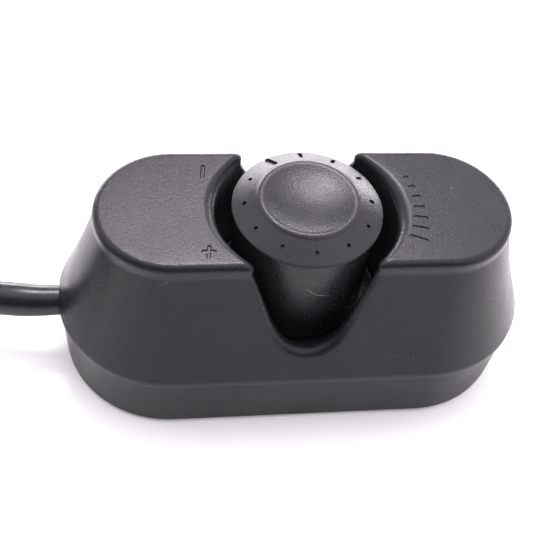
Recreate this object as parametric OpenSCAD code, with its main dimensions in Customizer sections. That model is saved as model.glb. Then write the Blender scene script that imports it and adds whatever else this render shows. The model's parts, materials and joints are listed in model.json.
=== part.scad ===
// Wired desk remote for a subwoofer's volume: a round-ended housing with flared walls,
// a finger-grip knob standing in a central well, the potentiometer that it turns, and a
// lead that ends in a jack plug. Millimetres, Z up. The origin is on the table under the
// knob's axis, the front is towards -Y and the lead leaves towards -X.

/* [Housing] */
// Half the distance between the centres of the two round ends
spine_half = 21.2; // [20.4:0.1:24]
// Plan radius of the top face's rim
lip_r = 12.2; // [11.8:0.1:12.8]
// Plan radius at the foot of the flared wall
shoulder_r = 19.2; // [18.6:0.1:20.4]
// Height of the top face above the table
housing_h = 34.8; // [34:0.1:38]
// Height of the parting line above the table
part_z = 12.6; // [12.2:0.1:13]
// Wall thickness of the upper shell
shell_wall = 2.1; // [1.8:0.05:2.4]
// Thickness of the upper shell's top
top_wall = 2.2; // [1.8:0.1:3]
// Thickness of the ribs under the upper shell's top
wing_rib_t = 1.2; // [0.8:0.1:1.6]
// Depth of the ribs under the upper shell's top
wing_rib_h = 6; // [3:0.5:9]
// Rounding of the top rim
lip_round = 1.2; // [0.8:0.1:1.8]
// Height of the upright band under the rim's rounding
neck_h = 1.2; // [0.6:0.1:2]
// How far the flare curves in from a straight line, as a share of its width
flare_bow = 0.2; // [0:0.05:0.35]
// Rounding of the upper shell's bottom edge
edge_round = 0.5; // [0.3:0.05:0.6]

/* [Base cover] */
// How far the base cover stands in from the shell at the parting line
base_inset = 0.25; // [0.1:0.05:0.4]
// How much the base cover narrows from the parting line down to the table
base_draft = 0.25; // [0:0.05:0.7]
// Rounding of the base cover's bottom edge
base_round = 1.0; // [0.5:0.1:1.5]
// Thickness of the base cover's floor
base_floor = 2.0; // [1.6:0.1:2.4]
// Thickness of the shell's rim outside the base cover's lip
rim_wall = 1.2; // [1:0.05:1.4]
// Thickness of the base cover's lip
lip_wall = 1.0; // [0.8:0.05:1.2]
// Height of the base cover's lip above the parting line
lip_h = 1.4; // [1:0.1:1.8]
// Depth of the shadow groove at the parting line
groove_d = 0.5; // [0.3:0.05:0.6]
// Height of the shadow groove at the parting line
groove_h = 0.25; // [0.15:0.05:0.4]
// Gap between parts that fit into each other
fit_gap = 0.1; // [0.05:0.01:0.2]

/* [Well] */
// Radius of the round well that the knob stands in
well_r = 14.6; // [14.2:0.1:15.2]
// Rounding where the well meets the top face
well_round = 0.9; // [0.5:0.1:1.2]
// Thickness of the wall's edge at the lowest point of a finger notch
notch_edge_low = 1.7; // [1.2:0.1:2.2]
// Thickness of the wall's edge at the top of a finger notch
notch_edge_top = 0.6; // [0.4:0.1:1]
// Thickness of the well's wall
well_wall = 2.05; // [1.95:0.05:2.2]
// Thickness of the well's floor
well_floor = 2.0; // [1.6:0.1:2.4]

/* [Knob] */
// Radius of the knob's rim
rim_r = 12.0; // [11.7:0.1:12.6]
// Radius of the knob's skirt below the rim
skirt_r = 11.5; // [11.2:0.1:11.6]
// Wall thickness of the skirt
skirt_wall = 1.6; // [1.2:0.1:2]
// How far the knob's rim lies below the housing's top face
rim_drop = 0.25; // [0:0.05:0.6]
// Height of the rim's edge
rim_edge = 0.7; // [0.5:0.1:1]
// Running gap between the knob and the well's floor
knob_gap = 0.6; // [0.4:0.1:1]
// Radius of the raised ring's crest
crest_r = 7.5; // [7:0.1:7.8]
// Height of the crest above the rim
crest_h = 2.2; // [1.8:0.1:2.8]
// Depth of the finger dish below the crest
dish_depth = 1.1; // [0.6:0.1:1.4]
// Rounding of the crest
crest_round = 0.8; // [0.6:0.1:1]
// Thickness of the knob's top at its middle
cap_wall = 2.4; // [1.8:0.1:3]
// Outer radius of the hub that grips the shaft
hub_r = 4.8; // [4.4:0.1:5.2]
// Number of ribs between hub and skirt
rib_count = 6; // [3:1:8]
// Thickness of a rib
rib_t = 1.2; // [0.8:0.1:1.6]
// Radius of the circle of index marks
mark_r = 10.1; // [9.8:0.1:10.4]
// Length of an index mark
mark_len = 1.0; // [0.6:0.1:1.4]
// Width of an index mark
mark_w = 0.55; // [0.4:0.05:0.7]
// Depth of an index mark
mark_depth = 0.3; // [0.2:0.05:0.4]
// Length of the pointer bar
pointer_len = 2.6; // [2:0.1:2.8]
// Direction of the pointer as the knob stands
pointer_deg = 120; // [60:1:150]
// How far the knob turns from stop to stop
turn_deg = 300; // [260:5:310]
// Gap left in the spring ring round the hub
ring_gap_deg = 40; // [20:5:80]

/* [Potentiometer] */
// Radius of the shaft
shaft_r = 3.0; // [2.9:0.05:3.1]
// Height of the shaft's flat stretch
flat_len = 10.2; // [8:0.1:10.6]
// Distance from the shaft's axis to its flat
flat_off = 1.5; // [1.2:0.1:2]
// Radius of the threaded bushing
bushing_r = 3.5; // [3.4:0.05:3.8]
// How far the bushing stands out of the case
bushing_len = 6.6; // [6.2:0.1:7]
// Radius of the steel case
case_r = 8.4; // [8.2:0.1:8.8]
// Height of the potentiometer from wafer to mounting face
pot_h = 5.7; // [5.6:0.1:6.2]
// Thickness of the wafer
wafer_t = 1.2; // [1:0.1:1.4]
// Thickness of the case's sheet
sheet_t = 0.4; // [0.3:0.05:0.5]
// Running clearance of the shaft in its bushing
run_gap = 0.04; // [0.02:0.01:0.08]
// Width of the hexagon nut across its flats
nut_flats = 10; // [9.6:0.1:11]
// Thickness of the hexagon nut
nut_t = 2.0; // [1.6:0.1:2.4]
// Thickness of the toothed washer
washer_t = 0.5; // [0.3:0.1:0.7]
// Distance between the terminals
pin_pitch = 5.0; // [4.5:0.1:5.2]

/* [Board] */
// Length of the circuit board
board_l = 34; // [32:1:35]
// Width of the circuit board
board_w = 24; // [22:0.5:24.5]
// Thickness of the circuit board
board_t = 1.6; // [1.2:0.1:1.8]
// Gap between the base cover's floor and the board
board_gap = 1.4; // [1.3:0.1:1.8]
// Gap between the board and the potentiometer
pot_stand = 0.3; // [0.2:0.05:0.5]
// Place of the board's screws along the housing
board_screw_x = 13; // [12.6:0.1:13.6]
// Place of the board's screws across the housing
board_screw_y = 7; // [6.5:0.1:8]
// Radius of the board screws' shanks
board_screw_r = 1.1; // [1:0.05:1.2]
// Length of the board screws' shanks
board_screw_len = 6; // [5:0.5:7]
// Radius of the posts that the board is screwed to
post_r = 2.4; // [2:0.1:2.6]

/* [Fasteners and feet] */
// How far the housing screws stand beyond the centres of the round ends
boss_out = 2.8; // [2.2:0.1:3.8]
// How far the housing screws stand in from the foot of the flared wall
boss_in = 7.7; // [7.4:0.1:8.2]
// Radius of the shell's screw bosses
boss_r = 3.0; // [2.7:0.1:3.2]
// Radius of the housing screws' shanks
screw_r = 1.45; // [1.3:0.05:1.5]
// Radius of the housing screws' heads
screw_head_r = 2.6; // [2.4:0.1:2.7]
// Length of the housing screws' shanks
screw_len = 10; // [8:0.5:11]
// How far the foot pads' centres stand in from the ends of the base cover
foot_in = 8.4; // [8:0.1:9]
// Half the distance between the foot pads across the housing
foot_y = 6.5; // [6:0.5:8]
// Radius of a foot pad
foot_r = 4.0; // [3.5:0.1:4.2]
// Height that the foot pads hold the base above the table
foot_stand = 0.6; // [0.4:0.1:1]
// Depth of the pockets that the foot pads lie in
foot_pocket = 0.8; // [0.5:0.1:1]

/* [Lead] */
// Diameter of the lead
cord_d = 5.2; // [5:0.1:5.4]
// Height of the lead's axis below the parting line
cord_drop = 1.6; // [1.2:0.1:2]
// Thickness of the grommet round the lead
grommet_wall = 0.6; // [0.5:0.05:0.8]
// How far the clamp bar lies in from the end wall's outside
clamp_in = 8.15; // [8:0.05:8.6]
// How far the lead's jacket runs on past the middle of the clamp bar
lead_past = 5.0; // [4.6:0.1:5.4]
// Length of the clamp bar across the lead
clamp_w = 15.2; // [14.8:0.1:15.6]
// Width of the clamp bar along the lead
clamp_l = 4.0; // [3.6:0.1:4.4]
// Thickness of the clamp bar over the lead
clamp_t = 1.2; // [1:0.1:1.6]
// Radius of the clamp screws' shanks
clamp_screw_r = 1.2; // [1.1:0.05:1.3]
// Length of the clamp screws' shanks
clamp_screw_len = 7; // [6:0.5:8]
// Radius of a core's insulation
core_r = 0.65; // [0.5:0.05:0.7]
// Radius of the hank's folds, between its two columns of strands
fold_r = 18.2; // [18:0.1:19]
// Length of the hank's straight runs
hank_run = 58; // [54:1:64]
// Thickness of the strap that holds the hank
tie_t = 0.8; // [0.6:0.1:1]
// Width of the strap that holds the hank
tie_w = 8; // [6:0.5:10]

/* [Plug] */
// Radius of the plug's grip
plug_r = 4.0; // [3.8:0.1:4.6]
// Length of the plug's grip
grip_len = 14; // [12:0.5:16]
// Length of the plug's flexible boot
boot_len = 7; // [6:0.5:9]
// Radius of the plug's contact pin
pin_r = 1.75; // [1.7:0.05:1.8]
// Length of the plug's contact pin
pin_len = 14; // [13:0.5:15]

/* [Hidden] */
$fn = 64;

// A tiny overrun that keeps cuts clear of the faces they cross
over = 0.5;

// Heights, from the table up
base_z = foot_stand;
floor_z = base_z + base_floor;
board_z = floor_z + board_gap;
board_top = board_z + board_t;
wafer_z = board_top + pot_stand;
wafer_top = wafer_z + wafer_t;
mount_z = wafer_z + pot_h;
well_z = mount_z + well_floor;
knob_z = well_z + knob_gap;
rim_z = housing_h - rim_drop;
crest_z = rim_z + crest_h;
dish_z = crest_z - dish_depth;
cavity_top = dish_z - cap_wall;
top_in = housing_h - top_wall;
cord_z = part_z - cord_drop;
wing_end = spine_half + lip_r;

// The flare runs from the shell's rounded bottom edge to the neck
flare_low = part_z + edge_round;
flare_top = housing_h - lip_round - neck_h;
flare_steps = 12;
function flare_u(z) = (z - flare_low) / (flare_top - flare_low);
function flare_r(z) = let (u = min(1, max(0, flare_u(z))))
    shoulder_r - (shoulder_r - lip_r) * (u + flare_bow * u * (1 - u));
function flare_points(inset, z0, z1, n = flare_steps) =
    [for (i = [0:n]) let (z = z0 + (z1 - z0) * i / n) [flare_r(z) - inset, z]];

// Points along an arc about a centre, from one angle to another
function arc(c, r, a0, a1, n = 6) =
    [for (i = [0:n]) let (a = a0 + (a1 - a0) * i / n) c + r * [cos(a), sin(a)]];

// The height at which the flare has come in to a radius
function flare_height(r) = let (bow = 1 + flare_bow, q = (shoulder_r - r) / (shoulder_r - lip_r))
    flare_low + (flare_top - flare_low) * 2 * q / (bow + sqrt(bow * bow - 4 * flare_bow * q));

// Half width of a finger notch at a height: where the wall between the well and the
// flare is as thick as the edge is to be
notch_low_z = flare_height(well_r + notch_edge_low);
function notch_edge(z) = notch_edge_low
    + (notch_edge_top - notch_edge_low) * (z - notch_low_z) / (flare_top - notch_low_z);
function notch_half(z) = sqrt(max(0, pow(well_r, 2) - pow(flare_r(z) - notch_edge(z), 2)));

// Shell rim, base lip and the cavity that they leave
rim_in_r = shoulder_r - rim_wall;
lip_out_r = rim_in_r - fit_gap;
base_in_r = lip_out_r - lip_wall;
base_top_r = shoulder_r - base_inset;
base_r = base_top_r - base_draft;
foot_x = spine_half + base_r - foot_in;

// Screw stack of the housing
boss_x = spine_half + boss_out;
boss_y = shoulder_r - boss_in;
// The posts run up until the leaning wall covers half their radius
boss_top = flare_height(norm([boss_out, boss_y]) + boss_r / 2 + shell_wall);
head_h = 2.0;
screw_web = 2.4;
boss_join_z = part_z - 4.6;
head_seat_z = boss_join_z - screw_web;
tower_r = boss_r + 0.8;
screw_clear = 0.15;
pilot_gap = 0.03;

// The cone of the knob's top: its outer edge, and where on the crest's rounding it ends
cone_r = rim_r - 0.1;
ring_foot_deg = 17;

// Knob inside
skirt_in = skirt_r - skirt_wall;
bushing_top = mount_z + bushing_len;
clip_t = 0.6;
clip_z = bushing_top + 0.1;
hub_z = clip_z + clip_t + 1.2;
shaft_top = hub_z + flat_len;
bore_gap = 0.05;
ring_t = 0.4;
ring_h = 3;
slit_w = 1;
slit_h = 6;
rib_z = hub_z + slit_h + 0.6;
mark_count = 12;

// Potentiometer inside
flange_t = 0.8;
plate_t = 0.8;
flange_z = mount_z - plate_t - flange_t;
flange_r = 5;
rotor_t = 1.4;
rotor_z = flange_z - 0.2 - rotor_t;
rotor_r = 6.7;
wiper_t = 0.25;
wiper_w = 2.0;
wiper_r = rotor_r - 0.5;
wiper_gap = 0.05;
finger_w = 0.7;
finger_l = 0.8;
finger_in = 0.2;
finger_deg = 12;
shaft_z = wafer_top + 0.3;
lug_half_deg = 9;
stop_deg = 180;
stop_half_deg = (360 - turn_deg) / 2 - lug_half_deg - 0.3;
claw_w = 1.8;
terminal_w = 1.0;
terminal_t = 0.5;
terminal_y = case_r + 1;
terminal_end = 0.9;
tab_w = 3 * pin_pitch;
tab_y = terminal_y + 1.6;

// Small screws of the board and of the clamp
board_head_r = 2.0;
board_head_h = 1.1;
clamp_head_r = 2.1;
clamp_head_h = 1.5;
clamp_screw_y = 5.1;

// Lead
cord_r = cord_d / 2;
grommet_r = cord_r + grommet_wall;
grommet_flange_r = grommet_r + 1.2;
grommet_flange_t = 1.2;
lead_hole_l = 5;
wall_x = -(spine_half + base_top_r);
exit_x = wall_x + 0.05;
clamp_x = wall_x + clamp_in;
lead_end_x = clamp_x + lead_past;
clamp_top = cord_z + cord_r + clamp_t;
squeeze = 0.02;

// The lead outside: straight out, down to the table, and along it to the hank
cord_route = [
    [exit_x, 0, cord_z], [-43.5, 0, 11], [-47, 0.3, 11], [-50.5, 0.9, 10.8], [-54, 1.6, 10.3],
    [-58, 2.4, 9.3], [-62, 3.6, 8], [-66, 5.1, 6.6], [-70, 6.9, 5.3], [-74, 8.8, 4.2],
    [-78, 10.7, 3.4], [-82, 12.4, 2.9], [-86, 13.9, 2.65], [-90, 15.1, 2.6], [-94, 15.95, 2.6],
    [-98, 16.4, 2.6], [-102, 16.6, 2.6], [-105.4, 16.6, 2.6]];

// Six turns of the lead in a slim hank, two strands wide and three high. The lead runs
// into the back of the hank along its outer strand
route_end = cord_route[len(cord_route) - 1];
hank_half_w = cord_d;
hank_h = 3 * cord_d;
hank_at = [route_end[0] - hank_run / 2, route_end[1] - fold_r - cord_r];
tie_gap = 0.15;
tail_z = hank_h - cord_r;
tail_ride = hank_h + cord_r;
tail_climb = 22;
tail_run = 16;

// Plug, lying on the hank's back run and pointing away from the housing
boot_r = cord_r + 0.5;
plug_x = route_end[0] - tail_run;
plug_y = hank_at[1] + fold_r;
plug_z = hank_h + plug_r;
sleeve_len = 6.6;
ring_len = 2.2;
spacer_len = 0.7;
tip_len = pin_len - sleeve_len - ring_len - 2 * spacer_len;
contact_at = boot_len + grip_len;

// The stadium plan: one half profile, turned at both ends and drawn straight between them
module stadium(points, half = spine_half) {
    for (side = [-1, 1])
        translate([side * half, 0, 0])
            rotate([0, 0, -90 * side])
                rotate_extrude(angle = 180)
                    polygon(points);
    rotate([90, 0, 90])
        translate([0, 0, -half])
            linear_extrude(2 * half)
                union() {
                    polygon(points);
                    mirror([1, 0]) polygon(points);
                }
}

module shell_outer() {
    edge = [shoulder_r - edge_round, part_z + edge_round];
    lip = [lip_r - lip_round, housing_h - lip_round];
    stadium(concat([[0, part_z]],
        arc(edge, edge_round, -90, 0, 3),
        [for (i = [1:flare_steps])
            let (z = flare_low + (flare_top - flare_low) * i / flare_steps) [flare_r(z), z]],
        arc(lip, lip_round, 0, 90),
        [[0, housing_h]]));
}

module shell_cavity() {
    rim_top = part_z + lip_h + 0.2;
    stadium(concat([[0, part_z - over], [rim_in_r, part_z - over], [rim_in_r, rim_top]],
        flare_points(shell_wall, rim_top, top_in),
        [[0, top_in]]));
}

// The posts that the housing screws bite into
module screw_posts() {
    for (x = [-boss_x, boss_x], y = [-boss_y, boss_y])
        translate([x, y, boss_join_z])
            cylinder(r = boss_r, h = boss_top - boss_join_z);
}

module upper_shell() {
    color("dimgray")
    difference() {
        union() {
            difference() {
                shell_outer();
                shell_cavity();
            }
            intersection() {
                shell_outer();
                union() {
                    translate([0, 0, part_z]) cylinder(r = well_r + well_wall, h = housing_h, $fn = 96);
                    for (side = [0, 1])
                        mirror([side, 0, 0])
                            translate([well_r, -wing_rib_t / 2, top_in - wing_rib_h])
                                cube([wing_end - well_r, wing_rib_t, wing_rib_h + over]);
                }
            }
            translate([0, 0, mount_z])
                cylinder(r = well_r + well_wall, h = part_z - mount_z + over, $fn = 96);
            screw_posts();
            for (s = [-1, 1])
                translate([s * board_screw_x, s * board_screw_y, board_top])
                    cylinder(r = post_r, h = mount_z - board_top + over);
        }
        translate([0, 0, well_z]) cylinder(r = well_r, h = housing_h, $fn = 96);
        well_rounding();
        finger_notches();
        translate([0, 0, mount_z - over]) cylinder(r = bushing_r + fit_gap, h = well_floor + 2 * over);
        for (x = [-boss_x, boss_x], y = [-boss_y, boss_y])
            translate([x, y, boss_join_z - over])
                cylinder(r = screw_r + pilot_gap, h = screw_len + over + 1);
        for (s = [-1, 1])
            translate([s * board_screw_x, s * board_screw_y, board_top - over])
                cylinder(r = board_screw_r + pilot_gap, h = board_screw_len - board_t + 1 + over);
        lead_hole();
    }
}

// Rolls the top face over into the well
module well_rounding() {
    rotate_extrude($fn = 96)
        difference() {
            translate([well_r - over, housing_h - well_round])
                square([well_round + over, well_round + over]);
            translate([well_r + well_round, housing_h - well_round])
                circle(r = well_round, $fn = 32);
        }
}

// Takes the thin edge off the front and back walls, where the well breaks through them
module finger_notches() {
    steps = 12;
    side = [for (i = [0:steps]) let (z = notch_low_z + (flare_top - notch_low_z) * i / steps)
        [notch_half(z), z]];
    rotate([90, 0, 0])
        translate([0, 0, -shoulder_r - over])
            linear_extrude(2 * (shoulder_r + over))
                polygon(concat(side,
                    [[notch_half(flare_top), housing_h + over],
                     [-notch_half(flare_top), housing_h + over]],
                    [for (i = [steps:-1:0]) [-side[i][0], side[i][1]]]));
}

// The hole through the end wall, half in the base cover and half in the shell
module lead_hole() {
    translate([wall_x - over, 0, cord_z])
        rotate([0, 90, 0])
            cylinder(r = grommet_r + fit_gap / 2, h = lead_hole_l);
}

module base_cover() {
    color("dimgray")
    difference() {
        union() {
            difference() {
                base_outer();
                base_cavity();
            }
            for (x = [-boss_x, boss_x], y = [-boss_y, boss_y])
                translate([x, y, floor_z - over])
                    cylinder(r = tower_r, h = boss_join_z - floor_z + over);
            translate([clamp_x - clamp_l / 2, -clamp_w / 2, floor_z - over])
                cube([clamp_l, clamp_w, cord_z - floor_z + over]);
        }
        for (x = [-boss_x, boss_x], y = [-boss_y, boss_y])
            translate([x, y, base_z - over]) {
                cylinder(r = screw_head_r + 0.3, h = head_seat_z - base_z + over);
                cylinder(r = screw_r + screw_clear, h = boss_join_z - base_z + 2 * over);
            }
        foot_pockets();
        lead_hole();
        translate([clamp_x - clamp_l, 0, cord_z])
            rotate([0, 90, 0]) cylinder(r = cord_r + squeeze, h = 2 * clamp_l);
        for (side = [-1, 1])
            translate([clamp_x, side * clamp_screw_y, clamp_top - clamp_screw_len])
                cylinder(r = clamp_screw_r + pilot_gap, h = clamp_screw_len);
    }
}

module base_outer() {
    foot = [base_r - base_round, base_z + base_round];
    stadium(concat([[0, base_z]],
        arc(foot, base_round, -90, 0),
        [[base_top_r, part_z - groove_h], [base_top_r - groove_d, part_z - groove_h],
         [base_top_r - groove_d, part_z], [lip_out_r, part_z],
         [lip_out_r, part_z + lip_h], [0, part_z + lip_h]]));
}

module base_cavity() {
    stadium([[0, floor_z], [base_in_r, floor_z], [base_in_r, part_z + lip_h + over],
        [0, part_z + lip_h + over]]);
}

module foot_pockets() {
    for (x = [-foot_x, foot_x], y = [-foot_y, foot_y])
        translate([x, y, base_z - over])
            cylinder(r = foot_r + fit_gap, h = foot_pocket + over);
}

module foot_pads() {
    color("#202020")
    for (x = [-foot_x, foot_x], y = [-foot_y, foot_y])
        translate([x, y, 0])
            cylinder(r = foot_r, h = foot_stand + foot_pocket);
}

// A pan-head screw with its seat at z = 0, its shank upwards and its head below
module pan_screw(shank_r, shank_len, top_r, top_h) {
    difference() {
        union() {
            cylinder(r = shank_r, h = shank_len - shank_r);
            translate([0, 0, shank_len - shank_r])
                cylinder(r1 = shank_r, r2 = 0.3, h = shank_r);
            translate([0, 0, -top_h * 0.55]) cylinder(r = top_r, h = top_h * 0.55);
            translate([0, 0, -top_h]) cylinder(r1 = top_r * 0.75, r2 = top_r, h = top_h * 0.45);
        }
        for (turn = [0, 90])
            rotate([0, 0, turn])
                translate([-top_r * 0.5, -top_r * 0.1, -top_h - over])
                    cube([top_r, top_r * 0.2, top_h * 0.5 + over]);
    }
}

module housing_screws() {
    color("silver")
    for (x = [-boss_x, boss_x], y = [-boss_y, boss_y])
        translate([x, y, head_seat_z])
            pan_screw(screw_r, screw_len, screw_head_r, head_h);
}

module board_screws() {
    color("silver")
    for (s = [-1, 1])
        translate([s * board_screw_x, s * board_screw_y, board_z])
            pan_screw(board_screw_r, board_screw_len, board_head_r, board_head_h);
}

module clamp_screws() {
    color("silver")
    for (side = [-1, 1])
        translate([clamp_x, side * clamp_screw_y, clamp_top])
            rotate([180, 0, 0])
                pan_screw(clamp_screw_r, clamp_screw_len, clamp_head_r, clamp_head_h);
}

module clamp_bar() {
    color("black")
    difference() {
        translate([clamp_x - clamp_l / 2, -clamp_w / 2, cord_z])
            cube([clamp_l, clamp_w, clamp_top - cord_z]);
        translate([clamp_x - clamp_l, 0, cord_z])
            rotate([0, 90, 0]) cylinder(r = cord_r + squeeze, h = 2 * clamp_l);
        for (side = [-1, 1])
            translate([clamp_x, side * clamp_screw_y, cord_z - over])
                cylinder(r = clamp_screw_r + screw_clear, h = clamp_top);
    }
}

// The knob: a skirted cup whose top slopes up to a raised ring round a finger dish
module knob_body() {
    seat = [crest_r, crest_z - crest_round];
    dish_edge = crest_r - crest_round * 0.8;
    dish_edge_z = crest_z - crest_round * 0.4;
    sag = dish_edge_z - dish_z;
    dish_ball = (dish_edge * dish_edge + sag * sag) / (2 * sag);
    dish_half = asin(dish_edge / dish_ball);
    rotate_extrude($fn = 96)
        polygon(concat([[0, knob_z], [skirt_r - 0.3, knob_z], [skirt_r, knob_z + 0.3],
            [skirt_r, rim_z - rim_edge], [rim_r - 0.15, rim_z - rim_edge],
            [rim_r, rim_z - rim_edge + 0.15], [rim_r, rim_z - 0.2], [cone_r, rim_z]],
            arc(seat, crest_round, ring_foot_deg, 127, 8),
            arc([0, dish_z + dish_ball], dish_ball, -90 + dish_half, -90, 8)));
}

// Marks and a pointer sunk into the cone, square to its slope
module index_marks() {
    ring_foot_r = crest_r + crest_round * cos(ring_foot_deg);
    ring_foot_z = crest_z - crest_round * (1 - sin(ring_foot_deg));
    slope = atan((ring_foot_z - rim_z) / (cone_r - ring_foot_r));
    for (i = [0:mark_count - 1])
        rotate([0, 0, pointer_deg - i * 360 / mark_count])
            let (len = i == 0 ? pointer_len : mark_len)
                translate([mark_r, 0, rim_z + (cone_r - mark_r) * tan(slope)])
                    rotate([0, slope, 0])
                        translate([-len / 2, -mark_w / 2, -mark_depth])
                            cube([len, mark_w, mark_depth + over]);
}

module volume_knob() {
    color("dimgray")
    difference() {
        knob_body();
        difference() {
            translate([0, 0, knob_z - over])
                cylinder(r = skirt_in, h = cavity_top - knob_z + over, $fn = 96);
            translate([0, 0, hub_z]) cylinder(r = hub_r, h = cavity_top);
            for (i = [0:rib_count - 1])
                rotate([0, 0, (i + 0.5) * 360 / rib_count])
                    translate([0, -rib_t / 2, rib_z])
                        cube([skirt_r, rib_t, cavity_top]);
        }
        hub_bore();
        translate([-hub_r - over, -slit_w / 2, hub_z - over])
            cube([2 * hub_r + 2 * over, slit_w, slit_h + over]);
        index_marks();
    }
}

// The D-shaped bore that slides over the shaft's flat stretch
module hub_bore() {
    difference() {
        translate([0, 0, hub_z - over])
            cylinder(r = shaft_r + bore_gap, h = shaft_top - hub_z + over + 0.4);
        rotate([0, 0, pointer_deg])
            translate([flat_off + bore_gap, -hub_r, hub_z - 2 * over])
                cube([hub_r, 2 * hub_r, cavity_top]);
    }
}

module hub_spring_ring() {
    color("silver")
    translate([0, 0, hub_z + 1])
        difference() {
            cylinder(r = hub_r + fit_gap + ring_t, h = ring_h);
            translate([0, 0, -over]) cylinder(r = hub_r + fit_gap, h = ring_h + 2 * over);
            rotate([0, 0, -ring_gap_deg / 2])
                rotate_extrude(angle = ring_gap_deg)
                    translate([hub_r - 1, -over]) square([3, ring_h + 2 * over]);
        }
}

module pot_shaft() {
    color("gainsboro")
    difference() {
        translate([0, 0, shaft_z]) cylinder(r = shaft_r, h = shaft_top - shaft_z);
        rotate([0, 0, pointer_deg])
            translate([flat_off, -shaft_r - over, shaft_top - flat_len])
                cube([2 * shaft_r, 2 * shaft_r + 2 * over, flat_len + over]);
        translate([0, 0, clip_z])
            difference() {
                cylinder(r = shaft_r + over, h = clip_t);
                translate([0, 0, -over]) cylinder(r = shaft_r - 0.5, h = clip_t + 2 * over);
            }
    }
}

module shaft_clip() {
    color("silver")
    translate([0, 0, clip_z + 0.05])
        difference() {
            cylinder(r = shaft_r + 1, h = clip_t - 0.1);
            translate([0, 0, -over]) cylinder(r = shaft_r - 0.45, h = clip_t + 2 * over);
            rotate([0, 0, pointer_deg - 35])
                rotate_extrude(angle = 70)
                    translate([0.01, -over]) square([2 * shaft_r, clip_t + 2 * over]);
        }
}

// A ring sector about Z, from one radius to another
module sector(r0, r1, h, mid_deg, half_deg) {
    rotate([0, 0, mid_deg - half_deg])
        rotate_extrude(angle = 2 * half_deg)
            translate([r0, 0]) square([r1 - r0, h]);
}

module pot_rotor() {
    color("ivory")
    translate([0, 0, rotor_z])
        difference() {
            union() {
                cylinder(r = rotor_r, h = rotor_t);
                sector(rotor_r - 0.5, rotor_r + 0.7, rotor_t, pointer_deg, lug_half_deg);
            }
            translate([0, 0, -over]) cylinder(r = shaft_r + 0.02, h = rotor_t + 2 * over);
        }
}

// A spring ring under the rotor with two fingers that touch the wafer's two tracks
module wiper_springs() {
    color("goldenrod") {
        translate([0, 0, rotor_z - wiper_t])
            difference() {
                cylinder(r = wiper_r, h = wiper_t);
                translate([0, 0, -over]) cylinder(r = wiper_r - wiper_w, h = wiper_t + 2 * over);
            }
        for (i = [0, 1])
            rotate([0, 0, pointer_deg + finger_deg * (2 * i - 1)])
                translate([wiper_r - wiper_w + finger_in + i * finger_w,
                        -finger_w / 2, wafer_top + wiper_gap])
                    cube([finger_l, finger_w, rotor_z - wafer_top - wiper_gap]);
    }
}

module pot_bushing() {
    color("silver")
    difference() {
        union() {
            translate([0, 0, flange_z]) cylinder(r = flange_r, h = flange_t);
            translate([0, 0, flange_z]) cylinder(r = bushing_r, h = bushing_top - flange_z - 0.4);
            translate([0, 0, bushing_top - 0.4]) cylinder(r1 = bushing_r, r2 = bushing_r - 0.4, h = 0.4);
        }
        translate([0, 0, flange_z - over])
            cylinder(r = shaft_r + run_gap, h = bushing_top - flange_z + 2 * over);
    }
}

module pot_case() {
    color("lightgray")
    difference() {
        union() {
            difference() {
                translate([0, 0, wafer_top]) cylinder(r = case_r, h = mount_z - wafer_top);
                translate([0, 0, wafer_top - over])
                    cylinder(r = case_r - sheet_t, h = mount_z - plate_t - wafer_top + over);
            }
            translate([0, 0, wafer_top + 0.5])
                sector(rotor_r + 0.5, case_r - sheet_t / 2, mount_z - plate_t / 2 - wafer_top - 0.5,
                    stop_deg, stop_half_deg);
            for (a = [45, 135, 225, 315])
                translate([0, 0, wafer_z])
                    sector(case_r - sheet_t, case_r, wafer_t + over, a, claw_w / case_r * 90 / PI);
        }
        translate([0, 0, mount_z - plate_t - over])
            cylinder(r = bushing_r + fit_gap / 2, h = plate_t + 2 * over);
    }
}

module pot_wafer() {
    color("sienna")
    difference() {
        translate([0, 0, wafer_z])
            union() {
                cylinder(r = case_r - sheet_t - 0.05, h = wafer_t);
                translate([-tab_w / 2, 0, 0]) cube([tab_w, tab_y, wafer_t]);
            }
        for (a = [45, 135])
            translate([0, 0, wafer_z - over])
                sector(case_r - sheet_t - 0.1, case_r + 0.1, wafer_t + 2 * over, a,
                    claw_w / case_r * 90 / PI + 1.5);
    }
}

module pot_terminals() {
    color("silver")
    for (i = [-1:1])
        translate([i * pin_pitch - terminal_w / 2, terminal_y - terminal_t / 2,
                board_z - terminal_end])
            cube([terminal_w, terminal_t, wafer_z - board_z + terminal_end]);
}

module pot_washer() {
    color("silver")
    translate([0, 0, well_z])
        difference() {
            union() {
                cylinder(r = nut_flats / 2, h = washer_t);
                for (i = [0:11])
                    rotate([0, 0, i * 30])
                        translate([nut_flats / 2 - 0.4, -0.5, 0]) cube([1.4, 1, washer_t]);
            }
            translate([0, 0, -over]) cylinder(r = bushing_r + fit_gap, h = washer_t + 2 * over);
        }
}

module pot_nut() {
    color("silver")
    translate([0, 0, well_z + washer_t])
        difference() {
            cylinder(r = nut_flats / sqrt(3), h = nut_t, $fn = 6);
            translate([0, 0, -over]) cylinder(r = bushing_r + pilot_gap, h = nut_t + 2 * over);
        }
}

module circuit_board() {
    color("darkgreen")
    difference() {
        translate([-board_l / 2, -board_w / 2, board_z]) cube([board_l, board_w, board_t]);
        for (i = [-1:1])
            translate([i * pin_pitch, terminal_y, board_z - over])
                cylinder(r = terminal_w * 0.7, h = board_t + 2 * over, $fn = 24);
        for (s = [-1, 1])
            translate([s * board_screw_x, s * board_screw_y, board_z - over])
                cylinder(r = board_screw_r + screw_clear, h = board_t + 2 * over, $fn = 32);
    }
}

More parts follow.
